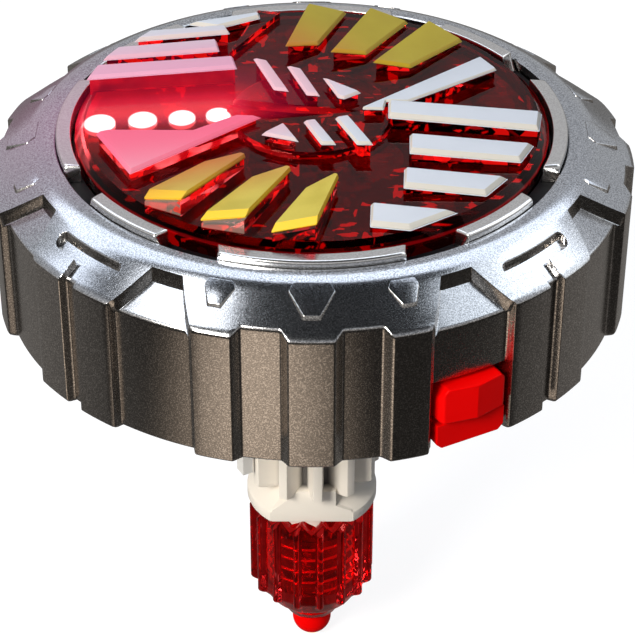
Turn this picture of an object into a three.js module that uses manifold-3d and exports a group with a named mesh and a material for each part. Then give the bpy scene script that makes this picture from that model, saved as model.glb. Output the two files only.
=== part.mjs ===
import * as THREE from 'three';
import { mergeVertices } from 'three/addons/utils/BufferGeometryUtils.js';
import Module from 'manifold-3d';

// A battle top with a metal attack ring, a clear slatted cover over four lamps, and a geared
// launch hub with a sprung clutch and a free-turning ball tip.
// Millimetres. Z is the spin axis and the ball touches the ground at zero.
// Angles are in degrees, from the front (-Y) towards +X.

const wasm = await Module();
wasm.setup();

// Overall sizes
const lensRadius = 24;
const ringWidth = 6.85;
const ringFoot = 50.1;
const ringWall = 14.7;
const crownRise = 3.4;
const lipRise = 0.1;
const gearTip = 7.5;
const tipRadius = 2.24;

// Clearances
const runGap = 0.3;
const seatGap = 0.1;
const glueGap = 0.05;
const overrun = 1;
const weldGap = 0.0001;

// Metal ring
const setback = 0.9;
const grooveDepth = 0.8;
const pocketDrop = 1.6;
const slotDrop = 0.5;
const slotWidth = 1.3;
const footChamfer = 0.3;
const seatDepth = 1.9;
const crownShares = [[0, 0], [0.15, 0], [0.26, 0.04], [0.38, 0.15], [0.58, 0.42], [0.8, 0.73], [1, 1]];
const recessAngles = { edge: 3.75, floor: 5.2, floorEnd: 11.85, end: 13.2 };
const pocketAngles = { edge: 19.75, floor: 20.6, floorEnd: 35.1, end: 35.45, inner: 24.5, innerEnd: 31 };
const pocketInnerShare = 0.401;
const slotAngles = { middle: 45, half: 8.2, stem: 1.6 };
const slotMiddleShare = 0.606;
const padSlopeShare = 0.549;
const padFootShare = 0.292;
const shieldShares = [[0.292, -3.38], [0.413, -4.3], [0.736, -1.45], [0.736, 1.45], [0.413, 4.3],
  [0.292, 3.38]];
const padShares = [[0.349, 19.44], [0.348, 14.82], [0.436, 13.95], [0.679, 15.86], [0.679, 18.21],
  [0.441, 19.86]];

// Clear cover
const lensRise = 1.25;
const lensThickness = 1;
const lensChamferWide = 0.9;
const lensChamferTall = 0.85;
const skirtWall = 1;
const skirtDepth = 2.8;
const plateauRadius = 8.4;
const plateauRise = 0.75;
const plateauEdge = 0.25;
const valleyDepth = 1;
const valleyShares = [[-0.36, 0.105], [0.217, 0], [-0.36, -0.105]];
const ridgeShares = [[-0.363, 0.507], [-0.144, 0.895], [-0.244, 0.914]];
const ridgeRise = 0.75;

// Slats on the cover: corners as shares of the cover's radius, and the height of the first three
// corners above the cover as shares of slatRise
const slatRise = 2;
const slatThickness = 0.45;
const slatChamfer = 0.25;
const plinthInset = 0.15;
const plinthSink = 0.5;
const slatShares = {
  white_slat_right_1: { rise: [0.875, 0.575, 0.575], corners: [[0.213, -0.036], [0.735, 0.45],
    [0.799, 0.34], [0.405, 0.027], [0.312, 0.027], [0.3, -0.045], [0.215, -0.045]] },
  white_slat_right_2: { rise: [0.925, 0.675, 0.675], corners: [[0.325, 0.022], [0.962, -0.039],
    [0.941, -0.179], [0.321, -0.105]] },
  white_slat_right_3: { rise: [0.775, 0.525, 0.525], corners: [[0.406, -0.234], [0.909, -0.281],
    [0.849, -0.41], [0.401, -0.369]] },
  white_slat_right_4: { rise: [0.625, 0.375, 0.375], corners: [[0.376, -0.482], [0.785, -0.521],
    [0.695, -0.648], [0.369, -0.614]] },
  white_slat_right_5: { rise: [0.45, 0.3, 0.3], corners: [[0.236, -0.727], [0.568, -0.767],
    [0.384, -0.892], [0.23, -0.874]] },
  white_slat_left_1: { rise: [0.625, 0.675, 0.675], corners: [[-0.55, 0.762], [-0.24, 0.858],
    [-0.234, 0.815], [-0.42, 0.72]] },
  white_slat_left_2: { rise: [0.825, 0.825, 0.875], corners: [[-0.779, 0.571], [-0.717, 0.655],
    [-0.387, 0.7], [-0.365, 0.635]] },
  white_slat_left_3: { rise: [0.925, 0.925, 0.975], corners: [[-0.903, 0.385], [-0.847, 0.486],
    [-0.421, 0.552], [-0.405, 0.458]] },
  white_slat_left_4: { rise: [0.975, 0.975, 1.075], corners: [[-0.96, 0.204], [-0.925, 0.315],
    [-0.343, 0.382], [-0.324, 0.285]] },
  white_slat_left_5: { rise: [0.725, 0.735, 0.775], corners: [[-0.889, -0.22], [-0.842, -0.201],
    [-0.492, -0.21], [-0.315, -0.091], [-0.217, -0.1], [-0.731, -0.526]] },
  white_slat_upper_1: { rise: [0.875, 0.875, 0.875], corners: [[-0.252, 0.395], [-0.194, 0.371],
    [-0.099, 0.11], [-0.16, 0.124]] },
  white_slat_upper_2: { rise: [0.875, 0.875, 0.875], corners: [[-0.105, 0.326], [-0.046, 0.298],
    [0.033, 0.071], [-0.021, 0.079]] },
  white_slat_upper_3: { rise: [0.875, 0.875, 0.875], corners: [[0.051, 0.222], [0.206, 0.097],
    [0.136, 0.045], [0.113, 0.054]] },
  white_slat_lower_1: { rise: [0.875, 0.875, 0.875], corners: [[-0.205, -0.252], [-0.118, -0.165],
    [-0.056, -0.307]] },
  white_slat_lower_2: { rise: [0.875, 0.875, 0.875], corners: [[-0.033, -0.148], [0.015, -0.136],
    [0.098, -0.331], [0.04, -0.331]] },
  white_slat_lower_3: { rise: [0.875, 0.875, 0.875], corners: [[0.098, -0.119], [0.152, -0.102],
    [0.249, -0.331], [0.186, -0.331]] },
  yellow_blade_back_1: { rise: [0.725, 0.3, 0.425], corners: [[-0.016, 0.933], [0.155, 0.919],
    [0.029, 0.6], [-0.114, 0.539]] },
  yellow_blade_back_2: { rise: [0.725, 0.3, 0.425], corners: [[0.263, 0.892], [0.432, 0.825],
    [0.239, 0.511], [0.085, 0.487]] },
  yellow_blade_back_3: { rise: [0.725, 0.3, 0.425], corners: [[0.523, 0.768], [0.667, 0.653],
    [0.428, 0.39], [0.269, 0.39]] },
  yellow_blade_front_1: { rise: [0.5, 1.1, 0.825], corners: [[-0.67, -0.707], [-0.515, -0.792],
    [-0.268, -0.411], [-0.288, -0.383], [-0.437, -0.412], [-0.653, -0.622]] },
  yellow_blade_front_2: { rise: [0.5, 1.075, 0.825], corners: [[-0.439, -0.87], [-0.259, -0.922],
    [-0.083, -0.513], [-0.1, -0.489], [-0.241, -0.538], [-0.417, -0.8]] },
  yellow_blade_front_3: { rise: [0.5, 0.975, 0.825], corners: [[-0.161, -0.96], [0.018, -0.964],
    [0.108, -0.569], [0.093, -0.551], [-0.026, -0.636], [-0.147, -0.891]] },
};

// Trim ring and liner round the cover
const trimInset = 0.1;
const trimWidth = 1.5;
const trimRise = 0.8;
const trimDepth = 3;
const trimBase = 0.6;
const trimBevel = 0.3;
const linerDrop = 1;
const linerThickness = 1.3;
const linerWall = 0.2;
const gapAngles = { inner: 21.2, innerEnd: 33.7, outer: 20, outerEnd: 34.8, clearance: 0.25 };

// Deck, lamp board and lamps
const deckDrop = 0.75;
const deckThickness = 0.95;
const deckFootWide = 1.1;
const deckFootTall = 0.2;
const deckHoleGap = 0.2;
const boardThickness = 1;
const lampRadius = 1.25;
const lampCollar = 0.7;
const lampCount = 4;
const lampFirst = [-20.9, 0.95];
const lampStep = [3.8, 0.57];

// Core housing, cells and holder
const coreWall = 1.8;
const coreFloor = 1.2;
const coreLedgeWide = 3.8;
const coreLedgeTall = 1.5;
const coreLedgeSlope = 2;
const cellRadius = 5.8;
const cellHeight = 5.4;
const cellWeb = 3.5;
const cellCount = 3;
const holderRim = 1.4;
const holderHeight = 2;
const plateWidth = 8;
const plateThickness = 0.4;

// Lamp button in the ring's wall
const buttonAngle = 28;
const buttonHalfWidth = 3.8;
const buttonTop = 7.3;
const buttonHeight = 3.9;
const buttonProud = 0.55;
const buttonShoulder = 0.1;
const buttonShoulderHalf = 3.26;
const buttonCorner = 0.85;
const buttonTopHalf = 2.9;
const buttonTopDrop = 1.1;
const buttonFootChamfer = 0.4;
const buttonDepth = 4.4;
const stemHalfWidth = 1.6;
const stemHeight = 2.3;
const stemWindowGap = 0.6;
const windowGap = 0.25;
const sillHeight = 2.8;
const sillGap = 0.5;
const sillSetback = 0.55;
const sillChamfer = 0.6;
const switchDepth = 3.4;
const switchHalfWidth = 3;
const switchHeight = 4;
const switchBore = 1.25;
const switchBoreDepth = 2.2;
const plungerRadius = 0.9;
const plungerLength = 1.7;
const plungerReach = 0.5;

// Lower housing, its screws and the neck
const flangeLap = 3;
const flangeThickness = 1.5;
const bowlShares = [[1, 0.0], [0.93, 0.225], [0.5, 0.59], [0.07, 0.908]];
const bowlInset = 0.4;
const bowlDepth = 11.8;
const bowlWall = 1.6;
const neckStep = 0.6;
const screwInset = 1.35;
const screwCount = 4;
const screwHeadRadius = 1.2;
const screwHeadHeight = 0.7;
const screwHeadGap = 0.25;
const screwRadius = 0.65;
const screwHoleGap = 0.15;
const screwLength = 5.9;
const screwSlotWidth = 0.35;
const screwSlotDepth = 0.35;
const bushRadius = 6;
const bushHeadRadius = 7.8;
const bushHead = 1.1;
const bushRise = 5.9;

// Shaft and its fastenings
const shaftRadius = 1;
const shaftEnd = 1.1;
const hexStep = 0.6;
const shaftFootGap = 0.75;
const shaftFootThickness = 1.1;
const nutRadius = 2.6;
const nutHeight = 2;
const nutSides = 6;
const washerRadius = 3.4;
const washerThickness = 0.3;
const clipRadius = 2.6;
const clipThickness = 0.5;

// Launch gear and the launcher's lugs
const gearCount = 12;
const gearPhase = 5;
const toothWidth = 1.9;
const toothTipWidth = 1.3;
const toothTipDepth = 0.5;
const toothRoot = 4.4;
const flangeFoot = 20.6;
const flangeEdge = 1.7;
const flangeSlope = 1.8;
const flangeStep = 0.22;
const flatDepth = 1.64;
const toothRise = 3;
const gearNeckGap = 1.6;
const crownTeeth = 12;
const crownInner = 3.2;
const crownTall = 0.8;
const lugThickness = 1.4;
const lugWidth = 1.46;
const lugFoot = 27.1;
const lugRing = 1.4;
const lugAngle = -60;

// Clutch, spring and cup
const clutchHub = 0.8;
const clutchHubLap = 0.5;
const clutchRing = 1.1;
const clutchOuterGap = 0.4;
const cupInner = 5.5;
const cupWall = 0.9;
const ribRise = 0.7;
const ribHalfWidth = 0.95;
const ribCount = 12;
const ribPhase = 16.5;
const ribDrop = 0.1;
const ribTail = 1.6;
const shoulderDrop = 0.9;
const cupFootRise = 0.96;
const cupLip = 0.32;
const springInset = 0.9;
const springWire = 0.25;
const springTurns = 4.5;
const springSteps = 8;
const springSides = 5;

// Tip
const tipBushWall = 0.7;
const tipBushGap = 0.52;
const tipBushLength = 3.6;
const stemRadius = 0.9;
const floorGap = 0.4;
const keeperRadius = 1.95;
const keeperThickness = 0.6;

// Round pieces are cut into this many sides
const fineSides = 72;
const coverSides = 48;
const plainSides = 28;
const smallSides = 12;
const arcStep = 3;

// Radii and levels worked out from the sizes above
const trimInner = lensRadius + 4 * trimInset;
const trimOuter = trimInner + trimWidth;
const ringBore = trimOuter + seatGap;
const ringRadius = ringBore + ringWidth;
const flangeRadius = ringBore + flangeLap;
const bowlTop = ringBore - bowlInset;
const screwCircle = ringBore + screwInset;
const cellCircle = (cellRadius + runGap) / Math.sin(Math.PI / cellCount) + cellWeb;
const holderRadius = cellCircle + cellRadius + runGap + holderRim;
const gearFlange = gearTip - flangeStep;
const gearFlat = gearFlange - flatDepth;
const neckRadius = gearTip + runGap + lugThickness;
const neckFoot = ringFoot - bowlDepth;
const gearTop = neckFoot - gearNeckGap;
const toothFoot = flangeFoot + toothRise;
const crownOuter = cupInner - runGap;
const springRadius = cupInner - springInset;
const shaftHex = shaftRadius + hexStep;
const shaftFootRadius = springRadius - springWire - shaftFootGap;
const cupFoot = tipRadius + cupFootRise;
const tipBushFoot = 2 * tipRadius + tipBushGap;
const tipBushTop = tipBushFoot + tipBushLength;
const keeperFoot = tipBushTop + runGap;
const stemTop = keeperFoot + keeperThickness + seatGap;
const cupFloor = stemTop + floorGap;
const cupShoulder = cupFloor - shoulderDrop;
const ribFoot = cupFloor - ribDrop;
const deckLevel = ringFoot + ringWall + crownRise - lipRise;
const lensPlane = deckLevel + lensRise;
const plateauPlane = lensPlane + plateauRise;
const coreTop = deckLevel - trimDepth - seatGap;
const coreFoot = ringFoot + seatDepth;
const coreRadius = ringBore - runGap;
const coreBase = coreFoot + coreFloor;
const boardFoot = coreTop + seatGap;
const boardTop = boardFoot + boardThickness;
const flangeLow = ringFoot + runGap - seatGap;
const bushBore = shaftRadius + runGap;
const bushTop = neckFoot + bushRise + runGap;
const crownTip = flangeFoot - crownTall;
const clutchTop = crownTip - runGap;
const clutchFoot = clutchTop - crownTall - clutchRing + seatGap;
const nutFoot = bushTop + bushHead + runGap;
const shaftTop = nutFoot + nutHeight + shaftEnd;
const cupRadius = cupInner + cupWall;
const cupTop = flangeFoot - runGap;

const finish = (color, roughness, metalness) => (
  new THREE.MeshStandardMaterial({ color, roughness, metalness }));
const ringMetal = finish('#8d8a88', 0.38, 0.9);
const silver = finish('#d9dadd', 0.15, 1);
const steel = finish('#b4b6ba', 0.3, 1);
const brass = finish('#b99a55', 0.3, 1);
const clearRed = finish('#7c0d12', 0.08, 0);
const signalRed = finish('#c4090a', 0.3, 0);
const tipRed = finish('#ff1708', 0.35, 0);
const white = finish('#eceff2', 0.3, 0);
const yellow = finish('#b9a435', 0.35, 0);
const black = finish('#15161b', 0.25, 0);
const ivory = finish('#e4dac8', 0.4, 0);
const boardGreen = finish('#1d5a35', 0.5, 0);
const lampClear = finish('#fff4f4', 0.1, 0);

// Helpers

const radians = (degrees) => THREE.MathUtils.degToRad(degrees);
const polar = (radius, degrees) => (
  [radius * Math.sin(radians(degrees)), -radius * Math.cos(radians(degrees))]);
const range = (count) => Array.from({ length: count }, (_, index) => index);
const scaled = (shares, size) => shares.map(([x, y]) => [x * size, y * size]);

// A closed geometry as a solid, with shared corners joined and its faces pointing out
function solid(geometry) {
  geometry.deleteAttribute('normal');
  geometry.deleteAttribute('uv');
  const merged = mergeVertices(geometry, weldGap);
  const corners = merged.attributes.position;
  const faces = [];
  let volume = 0;
  for (let at = 0; at < merged.index.count; at += 3) {
    const face = [0, 1, 2].map((step) => merged.index.getX(at + step));
    if (new Set(face).size === 3) {
      faces.push(face);
      const [a, b, c] = face.map((corner) => new THREE.Vector3().fromBufferAttribute(corners, corner));
      volume += a.dot(b.cross(c));
    }
  }
  const outward = volume < 0 ? faces.map(([a, b, c]) => [a, c, b]) : faces;
  const mesh = new wasm.Mesh({
    numProp: 3,
    vertProperties: new Float32Array(corners.array),
    triVerts: new Uint32Array(outward.flat()),
  });
  return new wasm.Manifold(mesh);
}

// A solid as a geometry for a mesh
function surface(body) {
  const mesh = body.getMesh();
  const geometry = new THREE.BufferGeometry();
  geometry.setAttribute('position', new THREE.BufferAttribute(mesh.vertProperties, 3));
  geometry.setIndex(new THREE.BufferAttribute(mesh.triVerts, 1));
  geometry.computeVertexNormals();
  return geometry;
}

// A profile of radius and height turned round Z
function lathe(profile, sides) {
  const points = profile.map(([radius, height]) => new THREE.Vector2(radius, height));
  return solid(new THREE.LatheGeometry(points, sides).rotateX(Math.PI / 2));
}

const disc = (radius, low, high, sides) => lathe([[0, low], [radius, low], [radius, high], [0, high]], sides);

const tube = (inner, outer, low, high, sides) => lathe(
  [[inner, low], [outer, low], [outer, high], [inner, high], [inner, low]], sides);

// A plan outline raised from low to high
function prism(outline, low, high) {
  const shape = new THREE.Shape(outline.map(([x, y]) => new THREE.Vector2(x, y)));
  const geometry = new THREE.ExtrudeGeometry(shape, { depth: high - low, bevelEnabled: false });
  return solid(geometry.translate(0, 0, low));
}

// A front outline of x and z run from near to far, both measured towards -Y
function slab(outline, near, far) {
  const shape = new THREE.Shape(outline.map(([x, z]) => new THREE.Vector2(x, z)));
  const geometry = new THREE.ExtrudeGeometry(shape, { depth: far - near, bevelEnabled: false });
  return solid(geometry.rotateX(Math.PI / 2).translate(0, -near, 0));
}

// A block between two widths, two distances towards -Y and two heights
const block = (half, near, far, low, high) => prism(
  [[-half, -far], [half, -far], [half, -near], [-half, -near]], low, high);

// Outline of a part of a ring, from one angle to another
function sector(inner, outer, from, to) {
  const steps = Math.max(1, Math.ceil((to - from) / arcStep));
  const angles = range(steps + 1).map((step) => from + ((to - from) * step) / steps);
  return [...angles.map((angle) => polar(outer, angle)),
    ...angles.reverse().map((angle) => polar(inner, angle))];
}

// Rings of points with equal counts, joined side by side and closed by their first and last ring
function loft(rings) {
  const count = rings[0].length;
  const corners = rings.flat();
  const faces = [];
  for (let level = 0; level + 1 < rings.length; level += 1) {
    for (let step = 0; step < count; step += 1) {
      const here = level * count + step;
      const next = level * count + ((step + 1) % count);
      faces.push([here, next, next + count], [here, next + count, here + count]);
    }
  }
  const last = corners.length - count;
  const flat = rings[0].map((point) => new THREE.Vector2(point.x, point.y));
  for (const [a, b, c] of THREE.ShapeUtils.triangulateShape(flat, [])) {
    faces.push([c, b, a], [last + a, last + b, last + c]);
  }
  const geometry = new THREE.BufferGeometry().setFromPoints(corners);
  geometry.setIndex(faces.flat());
  return solid(geometry);
}

// An outline in anticlockwise order
function anticlockwise(outline) {
  const area = THREE.ShapeUtils.area(outline.map(([x, y]) => new THREE.Vector2(x, y)));
  return area < 0 ? [...outline].reverse() : outline;
}

// An anticlockwise outline moved inwards by a distance
function inset(outline, distance) {
  return outline.map((corner, at) => {
    const before = outline[(at + outline.length - 1) % outline.length];
    const after = outline[(at + 1) % outline.length];
    const arrive = new THREE.Vector2(corner[0] - before[0], corner[1] - before[1]).normalize();
    const leave = new THREE.Vector2(after[0] - corner[0], after[1] - corner[1]).normalize();
    const reach = distance / (1 + arrive.dot(leave));
    return [corner[0] - reach * (arrive.y + leave.y), corner[1] + reach * (arrive.x + leave.x)];
  });
}

const joined = (bodies) => bodies.reduce((whole, body) => whole.add(body));

const launchTop = new THREE.Group();

function place(name, body, material, parent = launchTop) {
  const mesh = new THREE.Mesh(surface(body), material);
  mesh.name = name;
  parent.add(mesh);
  return mesh;
}

// Metal ring

const ringShare = (share) => ringBore + share * (ringRadius - ringBore);
const crownTop = deckLevel + lipRise;
const crownProfile = crownShares.map(([out, down]) => [ringShare(out), crownTop - down * crownRise]);

// Everything under the ring's crown when the crown is lowered
function underCrown(drop) {
  const low = ringFoot - overrun;
  const lowered = crownProfile.map(([radius, height]) => [radius, height - drop]);
  const rim = ringRadius + 2 * overrun;
  const edge = lowered.at(-1)[1];
  return lathe([[0, low], [rim, low], [rim, edge], ...lowered.reverse(), [0, crownTop - drop]], fineSides);
}

// The same outline in all four quarters, and mirrored in each
function quarters(outlineOf, mirrored) {
  const sides = mirrored ? [1, -1] : [1];
  return range(4).flatMap((turn) => sides.map((side) => outlineOf((angle) => turn * 90 + side * angle)));
}

function ringBlank() {
  const foot = ringFoot;
  const seat = flangeRadius + runGap;
  return lathe([[ringBore, foot + seatDepth], [seat, foot + seatDepth], [seat, foot],
    [ringRadius - footChamfer, foot], [ringRadius, foot + footChamfer],
    ...crownProfile.toReversed(), [ringBore, foot + seatDepth]], fineSides);
}

// Raised pads on the crown, cut to a cone a little steeper than the crown
function ringPads() {
  const low = ringFoot + ringWall;
  const high = deckLevel + overrun;
  const coneTop = deckLevel + padSlopeShare * ringShare(padFootShare);
  const coneEdge = coneTop - padSlopeShare * (ringRadius + overrun);
  const cone = lathe([[0, ringFoot], [ringRadius + overrun, ringFoot], [ringRadius + overrun, coneEdge],
    [0, coneTop]], fineSides);
  const outline = (shares) => (angle) => shares.map(([share, turn]) => polar(ringShare(share), angle(turn)));
  const outlines = [...quarters(outline(shieldShares), false), ...quarters(outline(padShares), true)];
  return joined(outlines.map((points) => prism(points, low, high))).intersect(cone);
}

function ringCuts() {
  const low = ringFoot - overrun;
  const high = crownTop + overrun;
  const rim = ringRadius + overrun;
  const floor = ringRadius - setback;
  const arc = (from, to) => range(6).map((step) => from + ((to - from) * step) / 5);
  const walls = (at) => (angle) => [polar(rim, angle(at.edge)), polar(ringRadius, angle(at.edge)),
    ...arc(at.floor, at.floorEnd).map((turn) => polar(floor, angle(turn))),
    polar(ringRadius, angle(at.end)), polar(rim, angle(at.end))];
  const inner = ringShare(pocketInnerShare);
  const dish = (angle) => [polar(inner, angle(pocketAngles.inner)),
    polar(inner, angle(pocketAngles.innerEnd)),
    polar(ringRadius, angle(pocketAngles.end)), polar(rim, angle(pocketAngles.end)),
    polar(rim, angle(pocketAngles.edge)), polar(ringRadius, angle(pocketAngles.edge))];
  const deep = [...quarters(walls(recessAngles), true), ...quarters(walls(pocketAngles), true)];
  const dishes = joined(quarters(dish, true).map((points) => prism(points, low, high)));
  return joined(deep.map((points) => prism(points, low, high)))
    .add(dishes.subtract(underCrown(pocketDrop)));
}

// A shallow T on each wide block, with its stem run down the wall
function ringSlots() {
  const low = ringFoot - overrun;
  const high = crownTop + overrun;
  const middle = ringShare(slotMiddleShare);
  const inner = middle - slotWidth / 2;
  const { middle: turn, half, stem } = slotAngles;
  const rim = ringRadius + overrun;
  const bar = (angle) => sector(inner, inner + slotWidth, angle(turn - half), angle(turn + half));
  const leg = (angle) => sector(middle, rim, angle(turn - stem), angle(turn + stem));
  const groove = (angle) => sector(ringRadius - grooveDepth, rim, angle(turn - stem), angle(turn + stem));
  const ends = quarters((angle) => [turn - half, turn + half].map((end) => polar(middle, angle(end))), false);
  const rounds = ends.flat().map(([x, y]) => (
    disc(slotWidth / 2, low, high, smallSides).translate([x, y, 0])));
  const flats = [...quarters(bar, false), ...quarters(leg, false)].map((points) => prism(points, low, high));
  const shallow = joined([...flats, ...rounds]).subtract(underCrown(slotDrop));
  return joined([shallow, ...quarters(groove, false).map((points) => prism(points, low, high))]);
}

const screwPlaces = range(screwCount).map((turn) => (
  polar(screwCircle, slotAngles.middle + (turn * 360) / screwCount)));
const screwTop = flangeLow + seatGap + screwHeadHeight + screwLength;

function screwHoles(radius, low, high) {
  return joined(screwPlaces.map(([x, y]) => disc(radius, low, high, smallSides).translate([x, y, 0])));
}

const turned = (body) => body.rotate([0, 0, buttonAngle]);
const windowTop = ringFoot + buttonTop + runGap;

function buttonWindow() {
  const half = buttonHalfWidth + windowGap;
  const opening = block(half, ringBore - overrun, ringRadius + overrun, ringFoot - overrun, windowTop);
  return turned(opening);
}

function makeRing() {
  const holes = screwHoles(screwRadius + screwHoleGap, ringFoot + seatDepth - overrun, screwTop + runGap);
  const body = ringBlank().add(ringPads()).subtract(ringCuts()).subtract(ringSlots())
    .subtract(buttonWindow()).subtract(holes);
  place('metal_ring', body, ringMetal);
}

// Silver arcs round the cover, on one hoop, and the black liner that shows between them

function trimGaps(clearance, low, high) {
  const shrink = (angle, side) => angle + side * clearance;
  const inner = trimInner - trimInset;
  const outline = (angle) => [polar(inner, angle(shrink(gapAngles.inner, 1))),
    ...[trimOuter, trimOuter + overrun].map((radius) => polar(radius, angle(shrink(gapAngles.outer, 1)))),
    ...[trimOuter + overrun, trimOuter].map((radius) => polar(radius, angle(shrink(gapAngles.outerEnd, -1)))),
    polar(inner, angle(shrink(gapAngles.innerEnd, -1)))];
  return joined(quarters(outline, true).map((points) => prism(points, low, high)));
}

function makeTrim() {
  const low = deckLevel - trimDepth;
  const high = deckLevel + trimRise;
  const blank = lathe([[trimInner, low], [trimOuter, low], [trimOuter, high - trimBevel],
    [trimOuter - trimBevel, high], [trimInner + trimBevel / 2, high], [trimInner, high - trimBevel / 2],
    [trimInner, low]], coverSides);
  place('silver_trim', blank.subtract(trimGaps(0, low + trimBase, high + overrun)), silver);
}

function makeLiner() {
  const top = deckLevel - linerDrop;
  const inner = lensRadius + trimInset;
  const sleeve = tube(inner, inner + linerWall, deckLevel - trimDepth, top, coverSides);
  const hoop = tube(inner, trimOuter - glueGap, top - linerThickness, top, coverSides);
  const fill = hoop.intersect(trimGaps(gapAngles.clearance, top - trimDepth, top + overrun));
  place('black_liner', joined([sleeve, fill]), black);
}

// Slats

const slats = Object.entries(slatShares).map(([name, { rise, corners }]) => {
  const points = scaled(corners, lensRadius);
  const [a, b, c] = rise.map((share, at) => new THREE.Vector3(...points[at], lensPlane + share * slatRise));
  const plane = new THREE.Plane().setFromCoplanarPoints(a, b, c);
  const height = ([x, y]) => -(plane.constant + plane.normal.x * x + plane.normal.y * y) / plane.normal.z;
  const outline = anticlockwise(points);
  const ring = (edge, drop) => edge.map((point) => new THREE.Vector3(...point, height(point) - drop));
  return { name, outline, ring };
});

function makeSlats() {
  for (const { name, outline, ring } of slats) {
    const top = ring(inset(outline, slatChamfer), 0);
    const body = loft([ring(outline, slatThickness), ring(outline, slatChamfer), top]);
    place(name, body, name.startsWith('white') ? white : yellow);
  }
}

function slatPlinth({ outline, ring }) {
  const edge = inset(outline, plinthInset);
  const foot = edge.map((point) => new THREE.Vector3(...point, lensPlane - plinthSink));
  return loft([foot, ring(edge, slatThickness + glueGap)]);
}

// Clear cover with the plinths that carry the slats

function makeCover() {
  const under = lensPlane - lensThickness;
  const skirt = lensRadius - skirtWall;
  const blank = lathe([[0, under], [skirt, under], [skirt, deckLevel - skirtDepth],
    [lensRadius, deckLevel - skirtDepth], [lensRadius, lensPlane - lensChamferTall],
    [lensRadius - lensChamferWide, lensPlane], [plateauRadius, lensPlane],
    [plateauRadius, plateauPlane - plateauEdge], [plateauRadius - plateauEdge, plateauPlane],
    [0, plateauPlane]], coverSides);
  const valley = prism(scaled(valleyShares, lensRadius), plateauPlane - valleyDepth, plateauPlane + overrun);
  const ridge = prism(scaled(ridgeShares, lensRadius), lensPlane - plinthSink, lensPlane + ridgeRise);
  const body = joined([blank.subtract(valley), ridge, ...slats.map(slatPlinth)]);
  place('clear_cover', body, clearRed);
}

// Deck, board and lamps

const lampPlaces = range(lampCount).map((at) => lampFirst.map((start, axis) => start + at * lampStep[axis]));
const deckRadius = lensRadius - skirtWall - runGap;

function makeDeck() {
  const high = deckLevel - deckDrop;
  const low = high - deckThickness;
  const foot = tube(deckRadius - deckFootWide, deckRadius, low - deckFootTall, low + glueGap, coverSides);
  const holes = lampPlaces.map(([x, y]) => (
    disc(lampRadius + deckHoleGap, low - overrun, high + overrun, smallSides).translate([x, y, 0])));
  place('black_deck', disc(deckRadius, low, high, coverSides).add(foot).subtract(joined(holes)), black);
}

function makeLamps() {
  place('lamp_board', disc(deckRadius, boardFoot, boardTop, coverSides), boardGreen);
  const dome = range(5).map((step) => radians((step * 90) / 4));
  const domeTall = deckLevel - boardTop - seatGap - lampCollar;
  const profile = [[0, 0], ...dome.map((turn) => (
    [lampRadius * Math.cos(turn), lampCollar + domeTall * Math.sin(turn)]))];
  profile.at(-1)[0] = 0;
  lampPlaces.forEach(([x, y], at) => {
    const lamp = place(`lamp_${at + 1}`, lathe(profile, smallSides), lampClear);
    lamp.position.set(x, y, boardTop + seatGap);
  });
}

// Core housing that holds the cells and carries the deck

const stemMiddle = ringFoot + buttonTop - buttonHeight / 2;
const stemEnd = coreRadius - coreWall - 2 * windowGap;
const plungerOut = stemEnd - seatGap;
const plungerIn = plungerOut - plungerLength;
const switchFace = plungerIn + plungerReach;

function makeCore() {
  const ledge = coreRadius - coreLedgeWide;
  const wall = coreRadius - coreWall;
  const ledgeFoot = coreTop - coreLedgeTall;
  const blank = lathe([[0, coreFoot], [coreRadius, coreFoot], [coreRadius, coreTop], [ledge, coreTop],
    [ledge, ledgeFoot], [wall, ledgeFoot - coreLedgeSlope], [wall, coreBase], [0, coreBase]], coverSides);
  const half = stemHalfWidth + stemWindowGap;
  const reach = stemHeight / 2 + stemWindowGap;
  const gate = block(half, wall - overrun, coreRadius + overrun, stemMiddle - reach, stemMiddle + reach);
  place('core_housing', blank.subtract(turned(gate)), black);
}

function makeCells() {
  const places = range(cellCount).map((turn) => polar(cellCircle, 180 + (turn * 360) / cellCount));
  const holderFoot = coreBase + seatGap;
  const wells = places.map(([x, y]) => (
    disc(cellRadius + runGap, holderFoot - overrun, holderFoot + holderHeight + overrun, plainSides)
      .translate([x, y, 0])));
  const holder = disc(holderRadius, holderFoot, holderFoot + holderHeight, plainSides);
  const notch = turned(block(switchHalfWidth + runGap, switchFace - switchDepth - runGap, ringBore,
    holderFoot - overrun, holderFoot + holderHeight + overrun));
  place('cell_holder', holder.subtract(joined(wells)).subtract(notch), white);
  places.forEach(([x, y], at) => {
    const cell = place(`button_cell_${at + 1}`, disc(cellRadius, 0, cellHeight, plainSides), steel);
    cell.position.set(x, y, coreBase + runGap);
  });
  const plateFoot = coreBase + runGap + cellHeight + seatGap;
  const plateInner = cellCircle - plateWidth / 2;
  place('contact_plate', tube(plateInner, plateInner + plateWidth, plateFoot, plateFoot + plateThickness,
    plainSides), brass);
}

// Button, its sill and the switch it presses, in a group turned to the button's angle

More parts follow.
